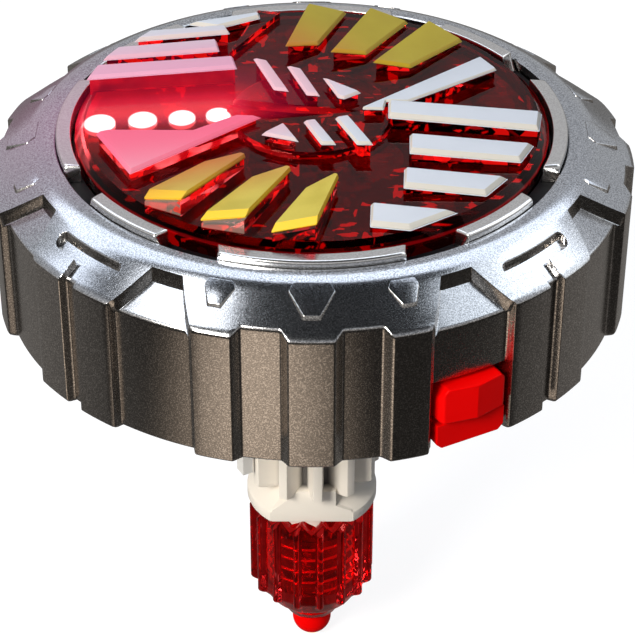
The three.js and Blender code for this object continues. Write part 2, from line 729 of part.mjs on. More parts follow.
function makeButton() {
  const group = new THREE.Group();
  group.rotation.z = radians(buttonAngle);
  launchTop.add(group);
  const high = ringFoot + buttonTop;
  const low = high - buttonHeight;
  const side = ringRadius - buttonCorner;
  const shoulder = ringRadius - buttonShoulder;
  const nose = ringRadius + buttonProud;
  const back = nose - buttonDepth;
  const plan = [[-buttonHalfWidth, -back], [-buttonHalfWidth, -side], [-buttonShoulderHalf, -shoulder],
    [0, -nose], [buttonShoulderHalf, -shoulder], [buttonHalfWidth, -side], [buttonHalfWidth, -back]];
  const footHalf = buttonHalfWidth - buttonFootChamfer;
  const face = [[-footHalf, low], [footHalf, low], [buttonHalfWidth, low + buttonFootChamfer],
    [buttonHalfWidth, high - buttonTopDrop], [buttonTopHalf, high], [-buttonTopHalf, high],
    [-buttonHalfWidth, high - buttonTopDrop], [-buttonHalfWidth, low + buttonFootChamfer]];
  const head = prism(plan, low, high).intersect(slab(face, back - overrun, nose + overrun));
  const stem = block(stemHalfWidth, stemEnd, back + windowGap, stemMiddle - stemHeight / 2,
    stemMiddle + stemHeight / 2);
  place('lamp_button', head.add(stem), signalRed, group);

  const sillFace = ringRadius - sillSetback;
  const sillLow = ringFoot + 2 * seatGap;
  const sillHalf = buttonHalfWidth - glueGap;
  const sillOutline = [[-sillHalf + sillChamfer, sillLow], [sillHalf - sillChamfer, sillLow],
    [sillHalf, sillLow + sillChamfer], [sillHalf, sillLow + sillHeight],
    [-sillHalf, sillLow + sillHeight], [-sillHalf, sillLow + sillChamfer]];
  place('button_sill', slab(sillOutline, flangeRadius + sillGap, sillFace), signalRed, group);

  const round = (radius, near, far) => {
    const rod = new THREE.CylinderGeometry(radius, radius, far - near, smallSides);
    return solid(rod.translate(0, -(near + far) / 2, stemMiddle));
  };
  place('switch_plunger', round(plungerRadius, plungerIn, plungerOut), black, group);
  const switchLow = coreBase + runGap;
  const shell = block(switchHalfWidth, switchFace - switchDepth, switchFace, switchLow,
    switchLow + switchHeight);
  const bore = round(switchBore, switchFace - switchBoreDepth, switchFace + overrun);
  place('tact_switch', shell.subtract(bore), black, group);
}

// Lower housing: flange, bowl and neck in one moulding

function makeHousing() {
  const flangeTop = flangeLow + flangeThickness;
  const reach = bowlTop - neckRadius;
  const fall = flangeLow - neckFoot;
  const outer = bowlShares.map(([out, down]) => [neckRadius + out * reach, flangeLow - down * fall]);
  const inner = outer.slice(1).map(([radius, height]) => [radius - bowlWall / 2, height + bowlWall]);
  const neckTop = neckFoot + bushRise;
  const neckBore = bushRadius + runGap;
  const blank = lathe([[flangeRadius, flangeTop], [flangeRadius, flangeLow], ...outer,
    [neckRadius, neckFoot + neckStep / 2], [neckRadius, neckFoot], [neckBore, neckFoot], [neckBore, neckTop],
    [neckBore + bowlWall, neckTop], ...inner.reverse(), [bowlTop - bowlWall, flangeTop],
    [flangeRadius, flangeTop]], coverSides);
  const heads = screwHoles(screwHeadRadius + screwHeadGap, flangeLow - overrun,
    flangeLow + seatGap + screwHeadHeight + seatGap);
  const holes = screwHoles(screwRadius + screwHoleGap, flangeLow, flangeTop + overrun);
  place('lower_housing', blank.subtract(heads).subtract(holes), black);
}

function makeScrews() {
  const slotHalf = screwSlotWidth / 2;
  const reach = screwHeadRadius - screwSlotWidth;
  const slots = [[slotHalf, reach], [reach, slotHalf]].map(([half, length]) => (
    block(half, -length, length, -overrun, screwSlotDepth)));
  const body = disc(screwHeadRadius, 0, screwHeadHeight, smallSides)
    .add(disc(screwRadius, screwSlotDepth, screwHeadHeight + screwLength, smallSides))
    .subtract(joined(slots));
  screwPlaces.forEach(([x, y], at) => {
    place(`housing_screw_${at + 1}`, body, steel).position.set(x, y, flangeLow + seatGap);
  });
}

function makeBush() {
  const low = neckFoot - 2 * runGap;
  place('neck_bush', lathe([[bushBore, low], [bushRadius, low], [bushRadius, bushTop],
    [bushHeadRadius, bushTop], [bushHeadRadius, bushTop + bushHead], [bushBore, bushTop + bushHead],
    [bushBore, low]], plainSides), brass);
}

// Shaft with its foot on the cup's floor and a hex run that drives the clutch

function makeShaft() {
  const foot = cupFloor + seatGap;
  const hexFoot = foot + shaftFootThickness;
  const hexTop = clutchTop;
  const hex = disc(shaftHex, hexFoot - glueGap, hexTop, nutSides);
  const body = joined([disc(shaftFootRadius, foot, hexFoot, plainSides), hex,
    disc(shaftRadius, foot, shaftTop, smallSides)]);
  place('drive_shaft', body, steel);
  const nut = disc(nutRadius, nutFoot, nutFoot + nutHeight, nutSides);
  const bore = disc(shaftRadius + seatGap, nutFoot - overrun, nutFoot + nutHeight + overrun, smallSides);
  place('shaft_nut', nut.subtract(bore), steel);
  const washerFoot = gearTop + runGap;
  place('thrust_washer', tube(bushBore, washerRadius, washerFoot, washerFoot + washerThickness,
    plainSides), steel);
  const clipFoot = flangeFoot - runGap - clipThickness;
  place('gear_circlip', tube(shaftRadius + seatGap, clipRadius, clipFoot, clipFoot + clipThickness,
    smallSides), steel);
}

// A ring whose top or bottom rises and falls in pointed teeth
function toothedRing(inner, outer, flat, root, tip) {
  const steps = 2 * crownTeeth;
  const sections = range(steps).map((step) => {
    const turn = gearPhase + (step * 360) / steps;
    const edge = step % 2 ? root : tip;
    const [near, far] = [polar(inner, turn), polar(outer, turn)];
    return [[...near, flat], [...far, flat], [...far, edge], [...near, edge]];
  });
  const corners = sections.flat().map((point) => new THREE.Vector3(...point));
  const faces = [];
  for (let step = 0; step < steps; step += 1) {
    for (let side = 0; side < 4; side += 1) {
      const here = step * 4 + side;
      const beside = step * 4 + ((side + 1) % 4);
      const ahead = ((step + 1) % steps) * 4;
      faces.push([here, beside, ahead + ((side + 1) % 4)], [here, ahead + ((side + 1) % 4), ahead + side]);
    }
  }
  const geometry = new THREE.BufferGeometry().setFromPoints(corners);
  geometry.setIndex(faces.flat());
  return solid(geometry);
}

// Launch gear: twelve long teeth over a flange with two flats, and a crown underneath

function makeGear() {
  const edgeTop = flangeFoot + flangeEdge;
  const hub = lathe([[bushBore, flangeFoot], [gearFlange, flangeFoot], [gearFlange, edgeTop],
    [toothRoot, edgeTop + flangeSlope], [toothRoot, gearTop], [bushBore, gearTop],
    [bushBore, flangeFoot]], plainSides);
  const sides = [-1, 1].map((side) => block(gearFlange, side < 0 ? -gearFlange - overrun : gearFlat,
    side < 0 ? -gearFlat : gearFlange + overrun, flangeFoot - overrun, toothFoot));
  const half = toothWidth / 2;
  const tipHalf = toothTipWidth / 2;
  const outline = [[-half, -toothRoot + overrun], [-half, -gearTip + toothTipDepth], [-tipHalf, -gearTip],
    [tipHalf, -gearTip], [half, -gearTip + toothTipDepth], [half, -toothRoot + overrun]];
  const teeth = range(gearCount).map((step) => (
    prism(outline, toothFoot, gearTop).rotate([0, 0, gearPhase + (step * 360) / gearCount])));
  const crown = toothedRing(crownInner, crownOuter, flangeFoot + seatGap, flangeFoot, crownTip);
  place('launch_gear', joined([hub.subtract(joined(sides)), ...teeth, crown]), ivory);
}

// Collar on the neck with the two lugs that the launcher grips

function makeLugs() {
  const inner = gearTip + runGap;
  const outer = inner + lugThickness;
  const high = neckFoot - runGap;
  const collar = tube(inner, outer, high - lugRing, high, plainSides);
  const lug = block(lugWidth / 2, inner + seatGap, outer - seatGap, lugFoot, high - lugRing / 2);
  const lugs = [0, 180].map((turn) => lug.rotate([0, 0, lugAngle + turn]));
  place('launcher_lugs', joined([collar, ...lugs]), white);
}

// Clutch ring and its spring

function makeClutch() {
  const outer = cupInner - clutchOuterGap;
  const root = clutchTop - crownTall;
  const crown = toothedRing(crownInner, outer, root - clutchRing + seatGap, root, clutchTop);
  const hub = disc(crownInner + clutchHubLap, clutchFoot, clutchFoot + clutchHub, plainSides);
  const bore = disc(shaftHex + runGap, clutchFoot - overrun, clutchTop + overrun, nutSides);
  place('clutch_ring', joined([crown, hub]).subtract(bore), clearRed);
}

class Coil extends THREE.Curve {
  constructor(radius, low, high, turns) {
    super();
    Object.assign(this, { radius, low, high, turns });
  }

  getPoint(share, target = new THREE.Vector3()) {
    const turn = share * this.turns * 2 * Math.PI;
    const height = this.low + share * (this.high - this.low);
    return target.set(this.radius * Math.cos(turn), this.radius * Math.sin(turn), height);
  }
}

// A closed round tube along a coil, one ring of points a step
function coilTube(coil, wire) {
  const steps = Math.round(coil.turns * springSteps);
  const rings = range(steps + 1).map((step) => {
    const centre = coil.getPoint(step / steps);
    const outward = new THREE.Vector3(centre.x, centre.y, 0).normalize();
    const up = new THREE.Vector3(0, 0, 1);
    return range(springSides).map((side) => {
      const turn = (side * 2 * Math.PI) / springSides;
      const across = centre.clone().addScaledVector(outward, wire * Math.cos(turn));
      return across.addScaledVector(up, wire * Math.sin(turn));
    });
  });
  return { rings, steps };
}

// The least distance between points of the tube that are at least half a turn apart
function leastGap({ rings }) {
  const apart = springSteps / 2;
  let least = Infinity;
  rings.forEach((ring, at) => rings.slice(at + apart).forEach((other) => {
    for (const a of ring) for (const b of other) least = Math.min(least, a.distanceTo(b));
  }));
  return least;
}

function tubeSolid({ rings, steps }) {
  const corners = [...rings.flat(), ...[0, steps].map((at) => (
    rings[at].reduce((sum, point) => sum.add(point), new THREE.Vector3()).divideScalar(springSides)))];
  const faces = [];
  const [start, end] = [corners.length - 2, corners.length - 1];
  for (let side = 0; side < springSides; side += 1) {
    const next = (side + 1) % springSides;
    for (let step = 0; step < steps; step += 1) {
      const here = step * springSides;
      const ahead = here + springSides;
      faces.push([here + side, here + next, ahead + next], [here + side, ahead + next, ahead + side]);
    }
    faces.push([start, next, side], [end, steps * springSides + side, steps * springSides + next]);
  }
  const geometry = new THREE.BufferGeometry().setFromPoints(corners);
  geometry.setIndex(faces.flat());
  return solid(geometry);
}

function makeSpring() {
  const low = cupFloor + seatGap + springWire;
  const coil = new Coil(springRadius, low, clutchFoot - seatGap - springWire, springTurns);
  const wound = coilTube(coil, springWire);
  console.log(`clutch_spring least gap to itself ${leastGap(wound).toFixed(2)} mm`);
  place('clutch_spring', tubeSolid(wound), steel);
}

// Ribbed cup round the clutch, with a cone that holds the tip

function makeCup() {
  const ball = tipRadius + runGap - glueGap;
  const lip = Math.sqrt(ball * ball - (cupFoot - tipRadius) ** 2) + cupLip;
  const blank = lathe([[0, cupFoot], [lip, cupFoot], [cupRadius, cupShoulder], [cupRadius, cupTop],
    [0, cupTop]], plainSides);
  const ribFace = cupRadius + ribRise;
  const ribRoot = cupInner + cupWall / 2;
  const rib = slab([[ribRoot, ribFoot - ribTail], [(ribFace + ribRoot) / 2, ribFoot - ribTail / 2],
    [ribFace, ribFoot], [ribFace, cupTop], [ribRoot, cupTop]], -ribHalfWidth, ribHalfWidth);
  const ribs = range(ribCount).map((step) => rib.rotate([0, 0, ribPhase + (step * 360) / ribCount]));
  const cavity = disc(cupInner, cupFloor, cupTop + overrun, plainSides);
  const bushSeat = stemRadius + runGap + tipBushWall + seatGap;
  const well = disc(bushSeat, cupFoot - overrun, cupFloor + overrun, smallSides);
  const socket = solid(new THREE.SphereGeometry(ball, smallSides, smallSides / 2)
    .translate(0, 0, tipRadius));
  place('drive_cup', joined([blank, ...ribs]).subtract(joined([cavity, well, socket])), clearRed);
}

// Ball tip on a stem, turning in its own bush

function makeTip() {
  const bore = stemRadius + runGap;
  place('tip_bush', tube(bore, bore + tipBushWall, tipBushFoot, tipBushTop, smallSides), brass);
  const ball = new THREE.SphereGeometry(tipRadius, plainSides, smallSides).rotateX(Math.PI / 2)
    .translate(0, 0, tipRadius);
  place('ball_tip', solid(ball).add(disc(stemRadius, tipRadius, stemTop, smallSides)), tipRed);
  place('tip_keeper', tube(stemRadius + glueGap, keeperRadius, keeperFoot, keeperFoot + keeperThickness,
    smallSides), steel);
}

makeRing();
makeTrim();
makeLiner();
makeCover();
makeSlats();
makeDeck();
makeLamps();
makeCore();
makeCells();
makeButton();
makeHousing();
makeScrews();
makeBush();
makeShaft();
makeGear();
makeLugs();
makeClutch();
makeSpring();
makeCup();
makeTip();

export default launchTop;
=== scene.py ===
"""A battling spinning top with its launch gear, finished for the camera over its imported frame.

Metres, with Z up along the spin axis and the front towards -Y. Shapes are worked out in
millimetres, and angles in degrees from the front towards +X. Every piece lies where its
part of the frame lies, at the origin, with its place in its mesh.
"""

import math

import bmesh
import bpy
import numpy as np
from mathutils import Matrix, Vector


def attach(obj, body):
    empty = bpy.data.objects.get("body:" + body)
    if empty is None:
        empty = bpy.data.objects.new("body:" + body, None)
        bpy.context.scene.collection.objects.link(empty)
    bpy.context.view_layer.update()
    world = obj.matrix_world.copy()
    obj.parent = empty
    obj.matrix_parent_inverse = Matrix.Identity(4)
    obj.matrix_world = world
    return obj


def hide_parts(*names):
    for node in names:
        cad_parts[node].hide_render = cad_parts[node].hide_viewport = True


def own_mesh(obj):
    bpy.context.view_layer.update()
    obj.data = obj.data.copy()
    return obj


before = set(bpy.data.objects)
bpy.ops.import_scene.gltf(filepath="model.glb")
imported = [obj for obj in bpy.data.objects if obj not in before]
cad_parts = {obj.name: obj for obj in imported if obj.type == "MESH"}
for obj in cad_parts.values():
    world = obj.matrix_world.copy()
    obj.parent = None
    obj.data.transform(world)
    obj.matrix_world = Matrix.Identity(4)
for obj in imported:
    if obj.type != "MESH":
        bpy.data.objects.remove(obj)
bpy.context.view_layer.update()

MM = 0.001
AROUND = np.arange(0, 360, 3.0)


# Shapes

def turned(radius, angle, height):
    """Points from a radius, an angle and a height: (radius sin angle, -radius cos angle, height)."""
    radius, angle, height = np.broadcast_arrays(radius, np.radians(angle), height)
    return np.stack([radius * np.sin(angle), -radius * np.cos(angle), height], axis=-1).astype(float)


def smooth(share):
    """A share held between 0 and 1 and eased at both ends: 3 share^2 - 2 share^3."""
    share = np.clip(share, 0, 1)
    return share * share * (3 - 2 * share)


def eased(outline, reach, steps=4):
    """A closed outline with each corner turned into a curve that starts and ends a reach away.

    The curve is (1-t)^2 start + 2 t (1-t) corner + t^2 end, and no reach is over 0.45 of its side.
    """
    outline = np.asarray(outline, float)
    sides = [np.roll(outline, step, axis=0) - outline for step in (1, -1)]
    lengths = [np.linalg.norm(side, axis=1, keepdims=True) for side in sides]
    reaches = [np.minimum(np.reshape(reach, (-1, 1)), 0.45 * length) for length in lengths]
    start, end = [outline + side / length * far for side, length, far in zip(sides, lengths, reaches)]
    t = np.linspace(0, 1, steps)[:, None, None]
    curve = (1 - t) ** 2 * start + 2 * t * (1 - t) * outline + t ** 2 * end
    return curve.transpose(1, 0, 2).reshape(-1, outline.shape[1])


def inset(outline, distances):
    """A closed anticlockwise outline with every side moved inwards by its own distance.

    A corner between directions a and b with distances p and q moves by (p b - q a) / (a x b).
    """
    outline = np.asarray(outline, float)
    leave = np.roll(outline, -1, axis=0) - outline
    leave /= np.linalg.norm(leave, axis=1, keepdims=True)
    arrive = np.roll(leave, 1, axis=0)
    after = np.broadcast_to(distances, len(outline))[:, None]
    before = np.roll(after, 1, axis=0)
    turn = (arrive[:, 0] * leave[:, 1] - arrive[:, 1] * leave[:, 0])[:, None]
    straight = np.abs(turn) < 0.05
    inward = np.column_stack([-leave[:, 1], leave[:, 0]]) * after
    cornered = (before * leave - after * arrive) / np.where(straight, 1, turn)
    return outline + np.where(straight, inward, cornered)


def anticlockwise(outline):
    """The outline in anticlockwise order, judged by the shoelace sum."""
    outline = np.asarray(outline, float)
    x, y = outline.T
    return outline if (x * np.roll(y, -1) - y * np.roll(x, -1)).sum() > 0 else outline[::-1]


def grid(points, wrap_rows=False):
    """Corners and four-sided faces of points in rows and columns. Wrapped rows join the last to the first.

    The last column always joins the first.
    """
    rows, columns = points.shape[:2]
    row, column = np.arange(rows - (not wrap_rows))[:, None], np.arange(columns)[None]
    here, ahead, beside = row * columns, (row + 1) % rows * columns, (column + 1) % columns
    corners = np.broadcast_arrays(here + column, here + beside, ahead + beside, ahead + column)
    return points.reshape(-1, 3), np.stack(corners, axis=-1).reshape(-1, 4).tolist()


def capped(rings):
    """Rings of points joined in order, with one flat face over the first ring and one over the last."""
    corners, faces = grid(rings)
    columns = rings.shape[1]
    ends = [list(range(columns)), list(range(len(corners) - columns, len(corners)))]
    return corners, faces + ends


def turned_rows(rows, angle):
    """A closed skin of rows, each with a radius and a height that may vary with the angle."""
    return grid(np.stack([turned(radius, angle, height) for radius, height in rows]), wrap_rows=True)


def lathe(profile, angles=AROUND):
    """A profile of radius and height that starts and ends on the axis, turned round it."""
    radius, height = np.asarray(profile, float).T
    return grid(turned(radius[:, None], angles[None], height[:, None]))


def piece(node, name, body, finish, *surfaces, slot, sharp=38):
    """One piece made of closed surfaces, with corners joined that lie on each other and faces outwards."""
    starts = np.cumsum([0, *[len(corners) for corners, _ in surfaces]])
    faces = [[int(start) + corner for corner in face]
             for start, (_, parts) in zip(starts, surfaces) for face in parts]
    mesh = bpy.data.meshes.new(name)
    mesh.from_pydata((np.concatenate([corners for corners, _ in surfaces]) * MM).tolist(), [], faces)
    work = bmesh.new()
    work.from_mesh(mesh)
    bmesh.ops.remove_doubles(work, verts=work.verts, dist=1e-7)
    bmesh.ops.recalc_face_normals(work, faces=work.faces)
    work.to_mesh(mesh)
    work.free()
    return shown(node, name, mesh, body, finish, sharp)


def placed(name, data):
    """A new object of the data, in the scene."""
    made = bpy.data.objects.new(name, data)
    bpy.context.scene.collection.objects.link(made)
    return made


def shown(node, name, mesh, body, finish, sharp):
    """The mesh as an object that rides on a body and stands for its node of the frame.

    It is smooth, apart from edges that turn by more than the sharp angle.
    """
    mesh.shade_smooth()
    mesh.set_sharp_from_angle(angle=math.radians(sharp))
    mesh.materials.clear()
    mesh.materials.append(finish)
    made = placed(name, mesh)
    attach(made, body)
    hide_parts(node)
    return made


def refined(node, name, body, finish, edge, segments=2, sharp=38):
    """A copy of a node of the frame, merged into one skin, with its edges rounded by a bevel."""
    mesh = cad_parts[node].data.copy()
    work = bmesh.new()
    work.from_mesh(mesh)
    bmesh.ops.remove_doubles(work, verts=work.verts, dist=1e-6)
    bmesh.ops.dissolve_limit(work, angle_limit=math.radians(0.6), verts=work.verts, edges=work.edges)
    work.to_mesh(mesh)
    work.free()
    bevel = shown(node, name, mesh, body, finish, sharp).modifiers.new("rounded edges", "BEVEL")
    bevel.width, bevel.segments = edge * MM, segments
    bevel.limit_method, bevel.angle_limit = "ANGLE", math.radians(38)
    bevel.harden_normals = True


# Finishes

BLACK = (0, 0, 0)


class Number:
    """A value in a finish. Arithmetic on it adds Math nodes."""

    def __init__(self, nodes, socket):
        self.nodes, self.socket = nodes, socket

    def __add__(self, other):
        return self.nodes.maths("ADD", self, other)

    def __sub__(self, other):
        return self.nodes.maths("SUBTRACT", self, other)

    def __rsub__(self, other):
        return self.nodes.maths("SUBTRACT", other, self)

    def __mul__(self, other):
        return self.nodes.maths("MULTIPLY", self, other)

    def __truediv__(self, other):
        return self.nodes.maths("DIVIDE", self, other)

    def __rtruediv__(self, other):
        return self.nodes.maths("DIVIDE", other, self)

    def __abs__(self):
        return self.nodes.maths("ABSOLUTE", self)

    __radd__, __rmul__ = __add__, __mul__

    def between(self, low, high):
        """0 below low and 1 above high, eased between them."""
        sockets = {"Value": self, "From Min": low, "From Max": high}
        made = self.nodes.node("MapRange", sockets, interpolation_type="SMOOTHSTEP")
        return Number(self.nodes, made.outputs["Result"])


class Nodes:
    """A tree of shader nodes, whose patterns are read from Object coordinates."""

    def __init__(self, tree):
        self.tree = tree
        tree.nodes.clear()
        self.coordinates = self.node("TexCoord").outputs
        self.place = self.coordinates["Object"]

    def feed(self, socket, value):
        """Links a value to a socket, or sets it there. A colour of three parts gets an alpha of 1."""
        if isinstance(value, Number):
            value = value.socket
        if isinstance(value, bpy.types.NodeSocket):
            self.tree.links.new(value, socket)
        elif hasattr(value, "__len__") and len(value) == 3 and len(socket.default_value) == 4:
            socket.default_value = (*value, 1)
        else:
            socket.default_value = value

    def node(self, kind, sockets=None, **settings):
        """Any node: its settings are set first, a ramp's stops among them, and then its sockets."""
        made = self.tree.nodes.new("ShaderNode" + kind)
        for name, value in settings.items():
            if name == "stops":
                ramp = made.color_ramp
                for place, _ in value[len(ramp.elements):]:
                    ramp.elements.new(place)
                for element, (place, colour) in zip(ramp.elements, value):
                    element.position, element.color = place, (*colour, 1)
            else:
                setattr(made, name, value)
        for name, value in (sockets or {}).items():
            self.feed(made.inputs[name], value)
        return made

    def maths(self, operation, *values):
        """A Math node of the values, as a number."""
        return Number(self, self.node("Math", dict(enumerate(values)), operation=operation).outputs[0])

    def parts(self, vector):
        """A vector's three numbers."""
        return [Number(self, part) for part in self.node("SeparateXYZ", {0: vector}).outputs]

    def axes(self):
        """The place on the piece as three numbers, in millimetres."""
        return [part * 1000 for part in self.parts(self.place)]

    def facing(self, axis):
        """How far the surface faces along an axis, from -1 to 1."""
        return self.parts(self.coordinates["Normal"])[axis]

    def length(self, x, y):
        """root(x^2 + y^2)."""
        return self.maths("SQRT", x * x + y * y)

    def grain(self, size, detail, vector=None):
        """Noise from 0 to 1 whose grains are about size millimetres across."""
        sockets = {"Vector": vector or self.place, "Scale": 1 / (size * MM), "Detail": detail}
        return Number(self, self.node("TexNoise", sockets).outputs[0])

    def shards(self, size, stretch, angle, share):
        """1 on a share of slanted splinters about size millimetres across, and 0 elsewhere."""
        turning = {"Vector": self.place, "Rotation": (0.4, 0, math.radians(angle)), "Scale": (1, stretch, 1)}
        spread = {"Vector": self.node("Mapping", turning).outputs[0], "Scale": 1 / (size * MM)}
        cells = self.node("TexVoronoi", spread, distance="CHEBYCHEV").outputs["Color"]
        pick = self.node("SeparateColor", {0: cells}).outputs[0]
        return self.maths("LESS_THAN", Number(self, pick), share)

    def blend(self, share, first, second):
        """A colour from first to second by a share."""
        return self.node("Mix", {0: share, 6: first, 7: second}, data_type="RGBA").outputs[2]

    def ramp(self, value, stops):
        """A colour read off stops by a value from 0 to 1."""
        return self.node("ValToRGB", {0: value}, stops=stops).outputs[0]

    def stretched(self, x, y, z):
        """The place with each axis multiplied, so that a pattern is drawn out along the others."""
        return self.node("VectorMath", {0: self.place, 1: (x, y, z)}, operation="MULTIPLY").outputs[0]


class Finish(Nodes):
    """A material of one Principled shader."""

    def __init__(self, name, **sockets):
        self.material = bpy.data.materials.new(name)
        self.material.use_nodes = True
        super().__init__(self.material.node_tree)
        self.shader = self.node("BsdfPrincipled")
        self.output = self.node("OutputMaterial", {0: self.shader.outputs[0]})
        self.set(**sockets)

    def set(self, **sockets):
        """Sockets of the shader, named with _ for a space."""
        for name, value in sockets.items():
            self.feed(self.shader.inputs[name.replace("_", " ")], value)

    def glow(self, colour):
        """Light that the surface gives off."""
        self.set(Emission_Color=colour, Emission_Strength=1.0)

    def relief(self, height, depth, strength):
        """Bumps of a height from 0 to 1, depth millimetres tall."""
        sockets = {"Height": height, "Distance": depth * MM, "Strength": strength}
        self.set(Normal=self.node("Bump", sockets).outputs[0])


# Height of the cover's top between its plinths
LENS = 69.35
# Each lamp's place in plan and its radius
LAMPS = {1: (-21.5, 0.75, 1.45), 2: (-17.2, 1.35, 1.35), 3: (-13.25, 1.85, 1.25), 4: (-9.55, 2.4, 1.18)}
# The round painted spot of light of each lamp on the cover's top: its place in plan and its size
LIGHT_SPOTS = [(-21.39, -1.25, 1.6), (-17.1, -0.53, 1.465), (-13.14, -0.13, 1.376), (-9.47, 0.48, 1.278)]
# How far a spot leans forwards for each millimetre over the cover's top, and its depth over its width
SPOT_LEAN, SPOT_DEPTH = 1.607, 1.16


def lamp_distance(finish):
    """Distance in plan from the line of the lamps: root(max(|along| - half length, 0)^2 + across^2)."""
    places = np.array([place[:2] for place in LAMPS.values()])
    (middle_x, middle_y), span = places.mean(axis=0), places[-1] - places[0]
    half = math.hypot(*span) / 2
    way_x, way_y = span / half / 2
    x, y, _ = finish.axes()
    x, y = x - middle_x, y - middle_y
    along, across = x * way_x + y * way_y, y * way_x - x * way_y
    return finish.length(finish.maths("MAXIMUM", abs(along) - half, 0), across)


def lamp_spill(finish, upward):
    """The lamps' pink light on metal that faces up, gone 18 mm away."""
    spill = [(0.0, (0.17, 0.004, 0.08)), (0.5, (0.07, 0.0, 0.035)), (1.0, BLACK)]
    finish.glow(finish.blend(upward, BLACK, finish.ramp(lamp_distance(finish) / 18, spill)))


def cast_metal():
    """Die-cast ring: cool and bright on the crown, warmer on the walls, painted for the light each reflects,
    with raised sparkling grains.
    """
    finish = Finish("cast metal", Metallic=1.0)
    upward = finish.facing(2).between(0.35, 0.8)
    fine = finish.grain(0.13, 0)
    # Painted light: the crown gets cool, bright colours and the walls warm, darker ones, for the light each
    # reflects.
    base = finish.blend(upward, (0.42, 0.395, 0.37), (0.61, 0.64, 0.69))
    speck = finish.blend(upward, (0.70, 0.67, 0.64), (0.80, 0.83, 0.88))
    pit = finish.blend(upward, (0.30, 0.29, 0.28), (0.40, 0.42, 0.45))
    dull = finish.blend(fine.between(0.25, 0.5), pit, base)
    finish.set(Base_Color=finish.blend(fine.between(0.52, 0.72), dull, speck))
    finish.set(Roughness=fine * 0.06 + (0.17 - upward * 0.03))
    lamp_spill(finish, upward)
    finish.relief(fine.between(0.45, 0.75) * (1 - upward * 0.7), 0.003, 0.8)
    return finish.material


def polished_silver():
    """Plated trim: bright and smooth, with faint specks and a soft haze."""
    finish = Finish("polished silver", Metallic=1.0)
    fine, broad = finish.grain(0.16, 2), finish.grain(2.5, 2)
    finish.set(Base_Color=finish.blend(fine.between(0.3, 0.7), (0.78, 0.77, 0.76), (0.92, 0.91, 0.90)))
    finish.set(Roughness=0.15 + fine * 0.05 + broad * 0.04)
    lamp_spill(finish, finish.facing(2).between(0.5, 0.9))
    finish.relief(fine, 0.001, 0.5)
    return finish.material


def machined(name, colour, glow=BLACK):
    """Turned metal parts: fine rings along the height, a little haze, and a painted glow where one is given.
    """
    finish = Finish(name, Metallic=1.0)
    finish.glow(glow)
    rings = finish.grain(0.12, 2, vector=finish.stretched(0.1, 0.1, 1.0))
    haze = finish.grain(1.4, 3)
    dark = tuple(0.72 * part for part in colour)
    finish.set(Base_Color=finish.blend(rings * 0.5 + haze * 0.4, dark, colour))
    finish.set(Roughness=0.2 + rings * 0.16)
    finish.relief(rings, 0.008, 0.5)
    return finish.material


def moulded(name, colour, shade, roughness, grain=0.35, depth=0.008, gloss=0.5, painted_shade=None):
    """Moulded plastic: a faint orange-peel skin and a slow drift between two close colours.

    A painted shade colour is reached towards the axis, above a height of 24.2 mm, where little light gets in.
    """
    finish = Finish(name, Specular_IOR_Level=gloss)
    peel, drift = finish.grain(grain, 2), finish.grain(5.0, 2)
    plain = finish.blend(drift.between(0.3, 0.7) * 0.7 + peel * 0.3, shade, colour)
    if painted_shade:
        x, y, height = finish.axes()
        # Painted shade: darker towards the axis above 24.2 mm, where little light gets in.
        shaded = 1 - finish.length(x, y).between(4.3, 5.6)
        plain = finish.blend(shaded * height.between(24.2, 24.7), plain, painted_shade)
    finish.set(Base_Color=plain)
    finish.set(Roughness=roughness - 0.05 + peel * 0.1)
    finish.relief(peel, depth, 0.6)
    return finish.material


def painted(name, colour, shade, edge, lamp_light_tint, near, far, glow=BLACK, nosed=False):
    """Slats: satin paint, one colour on top and another on the bevels, painted for the different light on
    them, and a painted pink tint and glow of the lamps' light from near to far off the lamps.
    """
    finish = Finish(name, Specular_IOR_Level=0.3)
    peel, drift = finish.grain(0.22, 2), finish.grain(4.0, 2)
    top = finish.blend(drift.between(0.3, 0.7) * 0.6 + peel * 0.4, shade, colour)
    # Painted light: the bevels, and the front slats' noses, take the edge colour for the key lamp's light on
    # them.
    upward = finish.facing(2).between(0.82, 0.92)
    if nosed:
        upward = upward * finish.facing(1).between(0.0, 0.07)
    plain = finish.blend(upward, edge, top)
    # Painted lamp light: a pink tint and a glow that fade from near to far off the lamps.
    reached = 1 - lamp_distance(finish).between(near, far)
    finish.set(Base_Color=finish.blend(reached, plain, lamp_light_tint))
    finish.glow(finish.blend(reached, BLACK, glow))
    finish.set(Roughness=0.28 + peel * 0.1)
    finish.relief(peel, 0.006, 0.5)
    return finish.material


def cup_plastic():
    """The clear red cup, tinted a little unevenly, with a faint painted red glow, thin upright painted
    streaks of light and a painted lit rim.
    """
    finish = Finish("clear red cup", Transmission_Weight=1.0, IOR=1.45, Roughness=0.03,
                    Specular_Tint=(0.35, 0.08, 0.08))
    flow = finish.grain(1.8, 3)
    streaks = finish.grain(0.5, 2, vector=finish.stretched(1, 1, 0.18)).between(0.68, 0.76)
    finish.set(Base_Color=finish.blend(flow.between(0.35, 0.65), (0.60, 0.01, 0.012), (0.78, 0.018, 0.02)))
    glow = finish.blend(flow.between(0.3, 0.7), BLACK, (0.02, 0, 0))
    glow = finish.blend(streaks, glow, (0.22, 0.03, 0.03))
    rim = finish.axes()[2].between(19.3, 19.5) * finish.facing(2).between(0.3, 0.6)
    finish.glow(finish.blend(rim, glow, (0.20, 0.004, 0.004)))
    return finish.material


